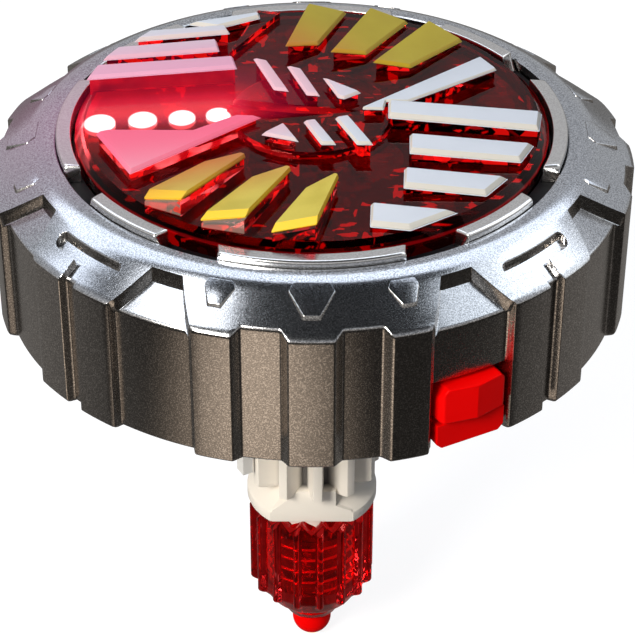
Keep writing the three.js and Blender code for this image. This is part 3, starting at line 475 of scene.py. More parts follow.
def cover_plastic():
    """The clear red cover: painted paler over the lamps and painted glowing round them, with painted light
    caught in its plinths.

    The plinths' upright sides hold painted bright splinters of light. Of the front plinths' ends two are
    painted pale and blotched with light, and the third is dark. The painted light spots of the lamps lie over
    it all.
    """
    finish = Finish("clear red cover", Transmission_Weight=1.0, IOR=1.45, Specular_Tint=(0.28, 0.05, 0.05))
    flow, distance = finish.grain(1.8, 3), lamp_distance(finish)
    tint = finish.blend(flow.between(0.35, 0.65), (0.66, 0.006, 0.008), (0.80, 0.012, 0.014))
    x, y, height = finish.axes()
    radius = finish.length(x, y)
    skirt = (1 - height.between(68.9, 69.2)) * radius.between(23.2, 23.6)
    tint = finish.blend(skirt, tint, (0.30, 0.003, 0.004))
    # Painted lamp light: the tint turns pale pink over the lamps.
    finish.set(Base_Color=finish.blend(distance.between(1.9, 3.4), (0.95, 0.42, 0.42), tint))
    plinth = height.between(69.42, 69.5)
    upright = (1 - abs(finish.facing(2)).between(0.2, 0.5)) * plinth
    near = 1 - distance.between(5, 9)
    finish.set(Roughness=0.03 + near * 0.11 + near * upright * 0.4)
    before = 1 - y.between(-1, 1.5)
    fading = [(0.0, (0.42, 0.022, 0.034)), (0.16, (0.28, 0.009, 0.024)), (0.4, (0.08, 0.002, 0.014)),
              (0.7, (0.01, 0.0, 0.002)), (1.0, BLACK)]
    # Painted glow round the lamps, none on plinth sides turned away or on faces turned down, and a painted
    # glow along the rim.
    glow = finish.ramp(distance * (before + 1) / 15, fading)
    turned_away = upright * (1 - y.between(0, 0.5)) * (0 - finish.facing(1)).between(0, 0.2)
    glow = finish.blend(turned_away * 0.85, glow, BLACK)
    glow = finish.blend((0 - finish.facing(2)).between(0.4, 0.6) * 0.75, glow, BLACK)
    rim = radius.between(23.8, 23.92) * height.between(68.25, 68.4)
    glow = finish.blend(rim, glow, (0.13, 0.001, 0.002))
    # Painted splinters of light on the plinths' upright sides.
    light_chips = finish.maths("MAXIMUM", finish.shards(1.5, 0.35, 24, 0.16), finish.shards(1.1, 2.2, -18, 0.14))
    glow = finish.blend(light_chips * upright * (1 - near), glow, (0.60, 0.004, 0.003))
    ahead, upward = (0 - finish.facing(1)).between(0.6, 0.8), finish.facing(2).between(0.6, 0.8)
    ends = finish.maths("MAXIMUM", ahead, upward)
    # The front plinths' ends: two get painted pale blotches of light, and the third is kept dark.
    front = ends * plinth * (1 - (x * 0.52 + y).between(-24.6, -24.2)) * (1 - x.between(-5.4, -5))
    dark_end = ends * plinth * (1 - y.between(-22, -21.6)) * x.between(-5.4, -5)
    glow = finish.blend(dark_end, glow, (0.004, 0.004, 0.004))
    light_blotches = finish.grain(1.3, 1).between(0.62, 0.65)
    glow = finish.blend(front, glow, finish.blend(light_blotches, (0.17, 0.15, 0.12), (0.60, 0.06, 0.04)))
    leaning = y + finish.maths("MAXIMUM", height - LENS, 0) * SPOT_LEAN
    # The lamps' round spots of light, painted on the cover.
    for left, back, size in LIGHT_SPOTS:
        from_spot = finish.length(x - left, (leaning - back) / SPOT_DEPTH)
        glow = finish.blend(1 - from_spot.between(size - 0.12, size + 0.08), glow, (1.0, 0.93, 0.94))
    finish.glow(glow)
    return finish.material


def deck_black():
    """The deck under the cover: glossy blue-black, with dull red patches and bright red splinters painted for
    the light that the cover throws.
    """
    finish = Finish("deck black", Roughness=0.12)
    bright = finish.maths("MAXIMUM", finish.shards(1.0, 0.35, 24, 0.04), finish.shards(1.4, 2.6, -18, 0.03))
    dull = finish.shards(2.0, 0.45, 60, 0.3) * 0.6 + finish.shards(1.6, 1.8, 10, 0.25) * 0.4
    # Painted light: dull red patches in the colour, and bright red splinters in the glow.
    finish.set(Base_Color=finish.blend(dull, (0.010, 0.011, 0.020), (0.10, 0.003, 0.006)))
    lit_part = finish.blend(dull, (0.008, 0, 0), (0.055, 0.0, 0.001))
    finish.glow(finish.blend(bright, lit_part, (0.55, 0.008, 0.004)))
    return finish.material


def lamp_lens():
    """A lit lamp under the cover, whose own white spot on the cover outshines it."""
    finish = Finish("lit lamp", Roughness=0.2, Emission_Strength=0.9)
    rim = finish.axes()[2].between(66.3, 66.7)
    finish.set(Base_Color=finish.blend(rim, (0.9, 0.6, 0.6), (1, 1, 1)))
    finish.set(Emission_Color=finish.blend(rim, (0.5, 0.08, 0.1), (0.9, 0.2, 0.24)))
    return finish.material


metal = cast_metal()
silver = polished_silver()
steel = machined("steel", (0.62, 0.63, 0.65))
brass = machined("brass", (0.68, 0.50, 0.24))
# The coil is painted with a red glow, for the light that reaches it through the red cup.
spring_steel = machined("spring steel in red light", (0.75, 0.72, 0.72), (0.42, 0.015, 0.01))
white = painted("white slats", (0.60, 0.64, 0.71), (0.56, 0.60, 0.67), (0.58, 0.56, 0.51), (0.66, 0.43, 0.50),
                7, 16, (0.05, 0.01, 0.02))
# White slats near the lamps carry a stronger painted pink tint and glow of the lamps' light.
lamp_tinted_white = painted("white slats behind the lamps", (0.60, 0.60, 0.66), (0.56, 0.56, 0.62), (0.60, 0.52, 0.50),
                   (0.62, 0.33, 0.45), 5, 16, (0.08, 0.02, 0.04))
glowing = painted("white slat before the lamps", (0.66, 0.60, 0.66), (0.60, 0.54, 0.61), (0.70, 0.40, 0.46),
                  (0.60, 0.07, 0.15), 6, 26, (0.28, 0.07, 0.10))
yellow = painted("yellow slats", (0.40, 0.32, 0.03), (0.36, 0.28, 0.025), (0.42, 0.30, 0.02),
                 (0.50, 0.17, 0.03), 9, 21)
# The front slats' bright golden edge colour is a painted highlight.
front_yellow = painted("front yellow slats", (0.62, 0.52, 0.09), (0.46, 0.37, 0.045), (0.86, 0.55, 0.03),
                       (0.50, 0.13, 0.03), 9, 22, nosed=True)
cover_red = cover_plastic()
cup_red = cup_plastic()
signal_red = moulded("signal red", (0.96, 0.001, 0.001), (0.88, 0.001, 0.001), 0.3, gloss=0.05)
tip_red = moulded("tip red", (0.99, 0.001, 0.001), (0.95, 0.001, 0.001), 0.36, gloss=0.03)
# The ivory gear is painted darker between its teeth near the column, for shade.
ivory = moulded("ivory", (0.89, 0.84, 0.76), (0.84, 0.79, 0.71), 0.42, 0.5, 0.01, gloss=0.3,
                painted_shade=(0.16, 0.15, 0.14))
plain_white = moulded("plain white", (0.82, 0.82, 0.80), (0.76, 0.76, 0.74), 0.42)
liner_black = moulded("liner black", (0.004, 0.004, 0.005), (0.007, 0.007, 0.009), 0.55, gloss=0.15)
gloss_black = moulded("gloss black", (0.006, 0.006, 0.008), (0.010, 0.010, 0.013), 0.2)
house_black = moulded("housing black", (0.020, 0.021, 0.024), (0.030, 0.031, 0.035), 0.48, 0.5, 0.02)
board_green = moulded("board green", (0.02, 0.12, 0.05), (0.015, 0.09, 0.04), 0.4)
deck = deck_black()
lit = lamp_lens()


# Metal ring

BORE, RIM, FOOT, DECK = 26.0, 32.85, 50.1, 68.1
CROWN_TOP, CROWN_RISE, SETBACK = DECK + 0.1, 3.4, 0.9
CROWN = np.array([[0, 0], [0.15, 0], [0.26, 0.04], [0.38, 0.15], [0.58, 0.42], [0.8, 0.73], [1, 1]])
POCKET_FROM, POCKET_TO, POCKET_BACK, POCKET_DEPTH = 19.75, 35.45, 28.75, 1.5
SLOT_RADIUS, SLOT_HALF_WIDTH, SLOT_HALF_LENGTH, STEM_HALF_WIDTH, SLOT_DEPTH = 30.15, 0.65, 3.66, 0.84, 0.8
PAD_START, PAD_SLOPE = 0.292, 0.549
BUTTON, WINDOW_HALF, WINDOW_TOP = 28.0, 7.28, 57.7


def crown_radius(part):
    """The radius at a part of the way from the bore to the rim."""
    return BORE + part * (RIM - BORE)


def crown_height(radius):
    """Height of the plain crown at a radius: its profile averaged over 0.8 mm, so that it has no creases."""
    taps = np.linspace(-0.4, 0.4, 9)
    radius = np.asarray(radius, float)[..., None] + taps
    down = np.interp((radius - BORE) / (RIM - BORE), *CROWN.T)
    down += np.clip(radius - RIM, 0, None) * (CROWN[-1, 1] - CROWN[-2, 1]) / (0.2 * (RIM - BORE))
    return CROWN_TOP - CROWN_RISE * down.mean(axis=-1)


def quarter(angle):
    """An angle folded into 0 to 45, since the ring repeats each quarter and mirrors in it."""
    return 45 - np.abs(45 - np.mod(angle, 90))


def wall_radius(angle):
    """Outer radius at an angle: teeth, recesses, pockets and the slot's groove, with rounded corners."""
    stops = [0, 3.75, 5.2, 11.85, 13.2, POCKET_FROM, 20.6, 35.1, POCKET_TO, 43.38, 43.46, 45]
    depths = [0, 0, 1, 1, 0, 0, 1, 1, 0, 0, 0.89, 0.89]
    taps = np.linspace(-0.22, 0.22, 9)
    folded = quarter(np.asarray(angle)[..., None] + taps)
    return RIM - SETBACK * np.interp(folded, stops, depths).mean(axis=-1)


def slanted(radius, angle):
    """Angles at a radius of lines that start at given rim angles and run along the pocket's slanted sides."""
    inwards = np.clip((RIM - radius) / (RIM - POCKET_BACK), 0, 1)
    folded = quarter(angle)
    rim = [0, 13.2, POCKET_FROM, POCKET_TO, 43.38, 45]
    back = [0, 13.2, 24.5, 31.0, 43.38, 45]
    moved = folded + inwards * (np.interp(folded, rim, back) - folded)
    return angle + np.where(np.mod(angle, 90) <= 45, 1, -1) * (moved - folded)


def crown_cuts(radius, rim_angle, angle):
    """How far the crown drops in the pockets and in the T slots, both with steep sides."""
    at_rim, folded = quarter(rim_angle), quarter(angle)
    arc = radius * np.pi / 180
    into = np.minimum(np.minimum(at_rim - POCKET_FROM, POCKET_TO - at_rim) * arc, radius - POCKET_BACK)
    along = (45 - folded) * arc
    bar = SLOT_HALF_WIDTH - np.hypot(np.maximum(along - SLOT_HALF_LENGTH, 0), radius - SLOT_RADIUS)
    stem = np.where(radius > SLOT_RADIUS, STEM_HALF_WIDTH - along, -1)
    slot = SLOT_DEPTH * smooth((np.maximum(bar, stem) + 0.05) / 0.12)
    return np.maximum(POCKET_DEPTH * smooth(into / 0.16), slot)


def unique(*runs, digits=2):
    """All values of the runs in order, rounded, each one once."""
    return np.unique(np.round(np.concatenate(runs), digits))


def all_round(half):
    """Angles from 0 to 45, mirrored in their quarter and repeated in each quarter."""
    return (np.arange(4)[:, None] * 90 + np.concatenate([half, 90 - half[-2:0:-1]])).ravel()


def ring_angles():
    """Rim angles of the columns: even steps, closer ones at every edge, and the window's own sides."""
    edges = np.array([3.75, 5.2, 11.85, 13.2, 20.6, 35.1, 43.42])
    near = (edges[:, None] + np.array([-0.32, -0.2, -0.1, 0, 0.1, 0.2, 0.32])).ravel()
    sides = [19.7, 19.75, 19.8, 19.87, 19.94, 20.02, 20.1, 35.1, 35.18, 35.26, 35.33, 35.4, 35.45, 35.5]
    half = unique(np.arange(0, 45.01, 0.9), near, sides, np.arange(38.2, 39.9, 0.08), [42.9, 43.05, 43.2])
    window = [BUTTON + way * WINDOW_HALF + step for way in (-1, 1) for step in (-0.001, 0.001)]
    return np.unique(np.concatenate([all_round(half), window]))


def ring_body():
    """The whole ring as one closed skin of columns round Z and rows round its section.

    A row of the crown keeps its radius until the wall cuts it off, and stands at the crown's height less
    the cuts. Rows of the wall keep the wall's radius, and the foot is lifted over the button's window.
    """
    angle = ring_angles()[None]
    wall = wall_radius(angle)
    open_here = np.abs(angle - BUTTON) < WINDOW_HALF
    foot = np.where(open_here, WINDOW_TOP, FOOT)
    seat = np.where(open_here, WINDOW_TOP + 0.02, FOOT + 1.9)
    coarse = np.arange(26.25, 32.6, 0.22)
    at_pocket, at_slot = [28.7, POCKET_BACK, 28.79, 28.84, 28.9], np.arange(29.4, 30.93, 0.07)
    radius = unique(coarse[(coarse < 29.35) | (coarse > 30.95)], at_pocket, at_slot, digits=3)
    crown = np.minimum(radius[:, None], wall - 0.16)
    bent = slanted(crown, angle)
    top = crown_height(crown) - crown_cuts(crown, angle, bent)
    brink = crown_height(wall) - crown_cuts(wall - 0.1, angle, angle)
    rows = [(BORE, seat), (BORE, CROWN_TOP - 0.12), (BORE + 0.12, CROWN_TOP)]
    before, after = len(rows), len(rows) + len(crown)
    rows += [*zip(crown, top), (wall - 0.06, brink - 0.03), (wall, brink - 0.16), (wall, brink - 0.4),
             (wall, (brink + foot) / 2), (wall, foot + 0.42), (wall, foot + 0.3), (wall - 0.14, foot + 0.1),
             (wall - 0.34, foot), (29.4, foot), (29.3, foot + 0.01), (29.3, seat)]
    radii, heights = [np.stack([np.broadcast_to(np.squeeze(part), angle.size) for part in parts])
                      for parts in zip(*rows)]
    angles = np.repeat(angle, len(rows), axis=0)
    angles[before:after] = bent
    return grid(turned(radii, angles, heights), wrap_rows=True)


def ring_pads():
    """Raised plates on the crown: bevelled outlines of radius and angle, whose tops lie on one cone."""
    shield = [(PAD_START, -3.38), (0.413, -4.3), (0.736, -1.45), (0.736, 1.45), (0.413, 4.3),
              (PAD_START, 3.38)]
    side = [(0.349, 19.44), (0.348, 14.82), (0.436, 13.95), (0.679, 15.86), (0.679, 18.21), (0.441, 19.86)]
    outlines = [(shield, turn, 1) for turn in (0, 90, 180, 270)]
    outlines += [(side, turn, way) for turn in (0, 90, 180, 270) for way in (1, -1)]
    made = []
    for outline, turn, way in outlines:
        part, angle = np.array(outline).T
        plan = anticlockwise(turned(crown_radius(part), turn + way * angle, 0)[:, :2])
        rings = []
        for step, drop in [(-0.42, 1.5), (-0.13, 0.52), (0.0, 0.045), (0.03, 0.01), (0.07, 0.0)]:
            edge = eased(inset(plan, step), 0.12, 3)
            height = DECK + PAD_SLOPE * (crown_radius(PAD_START) - np.hypot(*edge.T)) - drop
            rings.append(np.column_stack([edge, height]))
        made.append(capped(np.stack(rings)))
    return made


piece("metal_ring", "ring", "top", metal, ring_body(), *ring_pads(), slot="ring_metal", sharp=32)


# Silver arcs and the liner behind them

def trim_arcs():
    """One hoop with eight raised arcs, whose top falls to the hoop in the gaps between them.

    A column has one angle at the inner side and one at the outer side, so an arc's ends are slanted.
    """
    inner = np.array([*np.arange(0, 20.4, 1.7), 20.6, 20.9, 21.1, 21.2, 21.2, 24, 27, 30, 33.7, 33.7, 33.8,
                      34.0, 34.3, *np.arange(35.5, 45.1, 1.9)])
    outer = np.array([*np.arange(0, 19.0, 1.55), 19.2, 19.55, 19.85, 20.0, 20.0, 24, 27, 30, 34.8, 34.8,
                      34.95, 35.2, 35.6, *np.arange(36.8, 45.1, 1.64)])[:len(inner)]
    first = int(np.argmax(inner == 21.2))
    lift = np.ones(len(inner))
    lift[first - 2:first + 9] = [0.995, 0.965, 0.90, 0, 0, 0, 0, 0, 0.90, 0.965, 0.995]
    lift = np.tile(np.concatenate([lift, lift[-2:0:-1]]), 4)
    inner, outer = all_round(inner), all_round(outer)
    low, high = DECK - 3, DECK + 0.8
    top = low + 0.6 + lift * (high - low - 0.6)
    section = [(24.4, -0.14), (24.4, -0.1), (24.43, -0.03), (24.5, 0.0), (24.58, 0.0), (25.5, 0.0),
               (25.58, 0.0), (25.68, -0.015), (25.78, -0.065), (25.85, -0.14), (25.89, -0.23), (25.9, -0.32),
               (25.9, -0.42)]
    rows = [(24.4, low), *[(radius, top + below) for radius, below in section], (25.9, low)]
    return grid(np.stack([turned(radius, inner + (outer - inner) * (radius - 24.4) / 1.5, height)
                          for radius, height in rows]), wrap_rows=True)


piece("silver_trim", "silver_arcs", "top", silver, trim_arcs(), slot="silver", sharp=44)
refined("black_liner", "liner", "top", liner_black, 0.05)


# Cover and slats

LENS_RADIUS, SLAT_RISE = 24.0, 2.0
# Each slat's height at its first three corners, in parts of the rise, and its corners, in parts of the
# radius. A single height is that of a flat top.
SLATS = {
    "white_slat_right": [
        [(0.875, 0.575, 0.575), (0.213, -0.036), (0.735, 0.45), (0.799, 0.34), (0.405, 0.027),
         (0.312, 0.027), (0.3, -0.045), (0.215, -0.045)],
        [(0.925, 0.675, 0.675), (0.325, 0.022), (0.962, -0.039), (0.941, -0.179), (0.321, -0.105)],
        [(0.775, 0.525, 0.525), (0.406, -0.234), (0.909, -0.281), (0.849, -0.41), (0.401, -0.369)],
        [(0.625, 0.375, 0.375), (0.376, -0.482), (0.785, -0.521), (0.695, -0.648), (0.369, -0.614)],
        [(0.45, 0.3, 0.3), (0.236, -0.727), (0.568, -0.767), (0.384, -0.892), (0.23, -0.874)],
    ],
    "white_slat_left": [
        [(0.625, 0.675, 0.675), (-0.55, 0.762), (-0.24, 0.858), (-0.234, 0.815), (-0.42, 0.72)],
        [(0.825, 0.825, 0.875), (-0.779, 0.571), (-0.717, 0.655), (-0.387, 0.7), (-0.365, 0.635)],
        [(0.925, 0.925, 0.975), (-0.903, 0.385), (-0.847, 0.486), (-0.421, 0.552), (-0.405, 0.458)],
        [(0.975, 0.975, 1.075), (-0.96, 0.204), (-0.925, 0.315), (-0.343, 0.382), (-0.324, 0.285)],
        [(0.725, 0.735, 0.775), (-0.889, -0.22), (-0.842, -0.201), (-0.492, -0.21), (-0.315, -0.091),
         (-0.217, -0.1), (-0.731, -0.526)],
    ],
    "white_slat_upper": [
        [0.875, (-0.252, 0.395), (-0.194, 0.371), (-0.099, 0.11), (-0.16, 0.124)],
        [0.875, (-0.105, 0.326), (-0.046, 0.298), (0.033, 0.071), (-0.021, 0.079)],
        [0.875, (0.051, 0.222), (0.206, 0.097), (0.136, 0.045), (0.113, 0.054)],
    ],
    "white_slat_lower": [
        [0.875, (-0.205, -0.252), (-0.118, -0.165), (-0.056, -0.307)],
        [0.875, (-0.033, -0.148), (0.015, -0.136), (0.098, -0.331), (0.04, -0.331)],
        [0.875, (0.098, -0.119), (0.152, -0.102), (0.249, -0.331), (0.186, -0.331)],
    ],
    "yellow_blade_back": [
        [(0.725, 0.3, 0.425), (-0.016, 0.933), (0.155, 0.919), (0.029, 0.6), (-0.114, 0.539)],
        [(0.725, 0.3, 0.425), (0.263, 0.892), (0.432, 0.825), (0.239, 0.511), (0.085, 0.487)],
        [(0.725, 0.3, 0.425), (0.523, 0.768), (0.667, 0.653), (0.428, 0.39), (0.269, 0.39)],
    ],
    "yellow_blade_front": [
        [(0.5, 1.1, 0.825), (-0.67, -0.707), (-0.515, -0.792), (-0.268, -0.411), (-0.288, -0.383),
         (-0.437, -0.412), (-0.653, -0.622)],
        [(0.5, 1.075, 0.825), (-0.439, -0.87), (-0.259, -0.922), (-0.083, -0.513), (-0.1, -0.489),
         (-0.241, -0.538), (-0.417, -0.8)],
        [(0.5, 0.975, 0.825), (-0.161, -0.96), (0.018, -0.964), (0.108, -0.569), (0.093, -0.551),
         (-0.026, -0.636), (-0.147, -0.891)],
    ],
}
# Bevel widths of a side that faces away and of one that faces the given way
BEVELS = {"right": (0.2, 0.44, (0.25, -0.97)), "left": (0.16, 0.34, (0, -1)), "upper": (0.12, 0.22, (0, -1)),
          "lower": (0.12, 0.24, (0, -1)), "back": (0.14, 0.26, (0, -1)),
          "white_slat_right_1": (0.08, 0.18, (0.25, -0.97))}
CHAMFER = [(-0.3, 0.45), (0.0, 0.44), (0.0, 0.36), (0.1, 0.31), (0.88, 0.04), (1.0, 0.005), (1.15, 0.0)]


def slat(node, rise, corners):
    """A slat under its own slanted plane: rings of its outline, inset step by step up its bevel."""
    corners = np.array(corners) * LENS_RADIUS
    first = np.column_stack([corners[:3], LENS + SLAT_RISE * np.broadcast_to(rise, 3)])
    normal = np.cross(first[1] - first[0], first[2] - first[0])

    def plane(edge):
        return first[0, 2] - ((edge - first[0, :2]) @ normal[:2]) / normal[2]

    group = node.split("_")[2]
    if group == "front":
        return nosed_slat(corners, plane)
    away, toward, way = BEVELS.get(node) or BEVELS[group]
    outline = anticlockwise(corners)
    side = np.roll(outline, -1, axis=0) - outline
    outwards = np.column_stack([side[:, 1], -side[:, 0]]) / np.linalg.norm(side, axis=1, keepdims=True)
    widths = away + (toward - away) * np.clip(outwards @ way, 0, 1)
    rings = []
    for part, drop in CHAMFER:
        edge = eased(inset(outline, part * widths), 0.14)
        rings.append(np.column_stack([edge, plane(edge) - drop * min(1, (toward + 0.06) / 0.5)]))
    return capped(np.stack(rings))


def nosed_slat(corners, plane):
    """A front slat: its nose slopes from a fold through the last corner down to the plinth.

    The fold runs straight over to the side from corner 1 to corner 2, drawn in a little there, and the
    nose's foot stands 0.72 mm behind the outline.
    """
    along = corners[1] - corners[0]
    inwards = np.array([-along[1], along[0]]) / np.linalg.norm(along)
    depth = (corners[5] - corners[0]) @ inwards
    side = corners[2] - corners[1]
    fold = corners[1] + side * depth / (side @ inwards) * [0.55, 1]
    top = inset([corners[5], fold, *corners[2:5]], [0, 0.1, 0.1, 0.1, 0.1])
    foot = np.array([corners[0] + [0.06, 0.72], corners[1] + [0.04, 0.72], *corners[2:5]])
    high, low = plane(top), plane(foot) - 0.4
    low[:2] = plane(corners[:2]) - 0.45
    rings = [np.column_stack([foot, plane(foot) - 0.5])]
    for part, drop in [(0, 1), (0.04, 0.9), (0.93, 0.05), (1, 0)]:
        rings.append(np.column_stack([foot + (top - foot) * part, high + (low - high) * drop]))
    return capped(np.stack([eased(ring, 0.14) for ring in rings]))


lamplit = {"white_slat_left_3": lamp_tinted_white, "white_slat_left_4": lamp_tinted_white, "white_slat_left_5": glowing}
for group, members in SLATS.items():
    colour = group.split("_")[0]
    plain = front_yellow if "front" in group else {"white": white, "yellow": yellow}[colour]
    for number, (rise, *corners) in enumerate(members, 1):
        node = f"{group}_{number}"
        name = node.replace("slat", "bar").replace("blade", "ramp")
        piece(node, name, "top", lamplit.get(node, plain), slat(node, rise, corners),
              slot=f"{colour}_plastic", sharp=6 if "front" in group else 26)

refined("clear_cover", "cover", "top", cover_red, 0.1, segments=1, sharp=14)


# Lamps

def lamp_dome(x, y, radius):
    """A lamp: a collar and a low dome of height 0.3 sin t over a radius that shrinks with cos t."""
    t = np.radians(np.linspace(0, 90, 10))
    profile = np.column_stack([radius * np.cos(t), 67.75 + 0.3 * np.sin(t)])
    profile[-1, 0] = 0
    corners, faces = lathe([(0, 66.2), (radius - 0.1, 66.2), (radius, 66.3), *profile], AROUND[::4])
    return corners + [x, y, 0], faces


for number, place in LAMPS.items():
    piece(f"lamp_{number}", f"lit_lamp_{number}", "top", lit, lamp_dome(*place), slot="lamp_plastic")


# Button

refined("lamp_button", "side_button", "button", signal_red, 0.16, segments=3)
refined("button_sill", "side_sill", "top", signal_red, 0.12)


# Launch gear

TOOTH_COUNT, GEAR_PHASE, GEAR_ROOT, GEAR_TIP, GEAR_TOP = 12, 5.0, 4.4, 7.5, 36.7
TOOTH_HALF_FOOT, TOOTH_HALF_CREST, TOOTH_LOW, COVE = 0.95, 0.49, 24.2, 0.95


def toothed_column():
    """Teeth round a column. The cove cuts a tooth's reach to root + (tip - root) root((z - low) / cove)."""
    foot = math.sqrt(GEAR_ROOT ** 2 - TOOTH_HALF_FOOT ** 2)
    mid_x, mid_y = GEAR_ROOT * math.sin(math.radians(14)), GEAR_ROOT * math.cos(math.radians(14))
    corners = np.array([(-mid_x, mid_y), (-TOOTH_HALF_FOOT, foot), (-TOOTH_HALF_CREST, GEAR_TIP),
                        (TOOTH_HALF_CREST, GEAR_TIP), (TOOTH_HALF_FOOT, foot), (mid_x, mid_y)])
    turns = np.radians(GEAR_PHASE + np.arange(TOOTH_COUNT) * 30)[:, None, None]
    outward = np.concatenate([np.sin(turns), -np.cos(turns)], axis=-1)
    sideways = np.concatenate([np.cos(turns), np.sin(turns)], axis=-1)
    outline = (corners[None, :, :1] * sideways + corners[None, :, 1:] * outward).reshape(-1, 2)
    plan = eased(outline, 0.06, 3)
    out = np.repeat(outward[:, 0], len(plan) // TOOTH_COUNT, axis=0)
    reach = (plan * out).sum(axis=1)
    heights = np.array([GEAR_TOP, GEAR_TOP - 0.1, 25.15, 25.0, 24.8, 24.6, 24.4, 24.28, TOOTH_LOW, 23.9])
    limit = GEAR_ROOT + (GEAR_TIP - GEAR_ROOT) * np.sqrt(np.clip((heights - TOOTH_LOW) / COVE, 0, 1))
    limit[0] = GEAR_TIP - 0.1
    rings = []
    for height, most in zip(heights, limit):
        cut = plan - out * np.clip(reach - most, 0, None)[:, None]
        rings.append(np.column_stack([cut, np.full(len(plan), height)]))
    angles = np.degrees(np.arctan2(plan[:, 0], -plan[:, 1]))
    bore = [turned(1.3, angles, height) for height in (heights[-1], heights[0])]
    return grid(np.stack([*rings, *bore]), wrap_rows=True)


def gear_flange():
    """The flange: a disc with two flats, r = min(7.28, 5.64 / |cos angle|), sloping up to the column."""
    angle = unique(AROUND, [39.22, 140.78, 219.22, 320.78])
    rim = np.minimum(7.28, 5.64 / np.maximum(np.abs(np.cos(np.radians(angle))), 0.2))
    edge = 22.14 + (7.28 - rim) * 0.62
    return turned_rows([(1.3, 20.95), (rim - 0.14, 20.95), (rim - 0.03, 21.0), (rim, 21.1), (rim, edge),
                        (rim - 0.04, edge + 0.1), (rim - 0.14, edge + 0.18), (4.4, 24.1), (3.9, 24.15),
                        (1.3, 24.15)], angle)


def flange_plate(way):
    """The raised plate on a flat: one side ends in a step and the other slopes down to the rim."""
    side = np.array([(-4.42, 20.97), (4.42, 20.97), (4.42, 22.5), (2.67, 23.2), (2.67, 25.25), (-1.5, 25.25),
                     (-2.1, 24.65), (-2.7, 24.05), (-3.5, 23.3), (-4.42, 22.5)])
    rings = []
    for depth, step in [(4.2, 0.0), (5.62, 0.0), (5.655, 0.015), (5.665, 0.05)]:
        edge = inset(side, step)
        rings.append(np.column_stack([edge[:, 0] * way, np.full(len(edge), -depth * way), edge[:, 1]]))
    return capped(np.stack(rings))


def zigzag(angle, low, high, count=TOOTH_COUNT, phase=GEAR_PHASE):
    """Pointed teeth: a height that runs straight from low to high and back, count times round."""
    return low + (high - low) * np.abs(np.mod((angle - phase) * count / 360, 1) * 2 - 1)


crown_angles = GEAR_PHASE + np.arange(0, 360, 3.75)


def gear_crown():
    """The crown under the gear: a ring from 3.2 to 5.2 mm whose underside is a zigzag."""
    edge = zigzag(crown_angles, 20.6, 19.8)
    return turned_rows([(3.2, 21.1), (5.2, 21.1), (5.2, edge), (3.2, edge)], crown_angles)


piece("launch_gear", "ivory_gear", "gear", ivory, toothed_column(), gear_flange(), flange_plate(1),
      flange_plate(-1), gear_crown(), slot="ivory_plastic", sharp=28)
refined("launcher_lugs", "lugs", "top", plain_white, 0.1)


# Clutch, spring and cup

def clutch():
    """A hub and a crown in one skin: its section runs out from the bore and up a zigzag edge."""
    edge = zigzag(crown_angles, 19.5, 18.7)
    rows = [(1.92, 17.7), (1.92, 18.5), (3.2, 18.5), (3.2, edge), (5.1, edge), (5.1, 17.7)]
    return turned_rows(rows, crown_angles)


piece("clutch_ring", "clutch_crown", "clutch", cup_red, clutch(), slot="clear_red", sharp=30)


COIL_TURNS, COIL_RADIUS, WIRE_RADIUS = 4.5, 5.15, 0.14


def coil():
    """A round wire along a helix, whose height is eased by 0.14 of its rise and whose ends thin out."""
    turns = np.linspace(0, COIL_TURNS, 181)[:, None]
    rise = 10.35 + 7.0 * (0.86 * turns / COIL_TURNS + 0.14 * smooth(turns / COIL_TURNS))
    side = np.radians(np.linspace(0, 360, 10, endpoint=False))
    wire = np.full_like(turns, WIRE_RADIUS)
    wire[[0, -1]] = 0.02
    return capped(turned(COIL_RADIUS + wire * np.cos(side), 360 * turns, rise + wire * np.sin(side)))


spring = piece("clutch_spring", "clutch_coil", "top", spring_steel, coil(), slot="steel")
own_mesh(spring)


RIB_COUNT, RIB_PHASE, RIB_RADIUS, RIB_HALF, RIB_PROUD, RIB_FOOT, CUP = 16, 8.0, 6.6, 0.46, 0.7, 9.15, 6.4


def cup_wall(height):
    """Outer radius of the cup between its ribs."""
    return np.interp(height, [3.2, 4.6, 6.3, 6.8, 9.1], [2.62, 3.2, 4.5, 5.05, CUP])


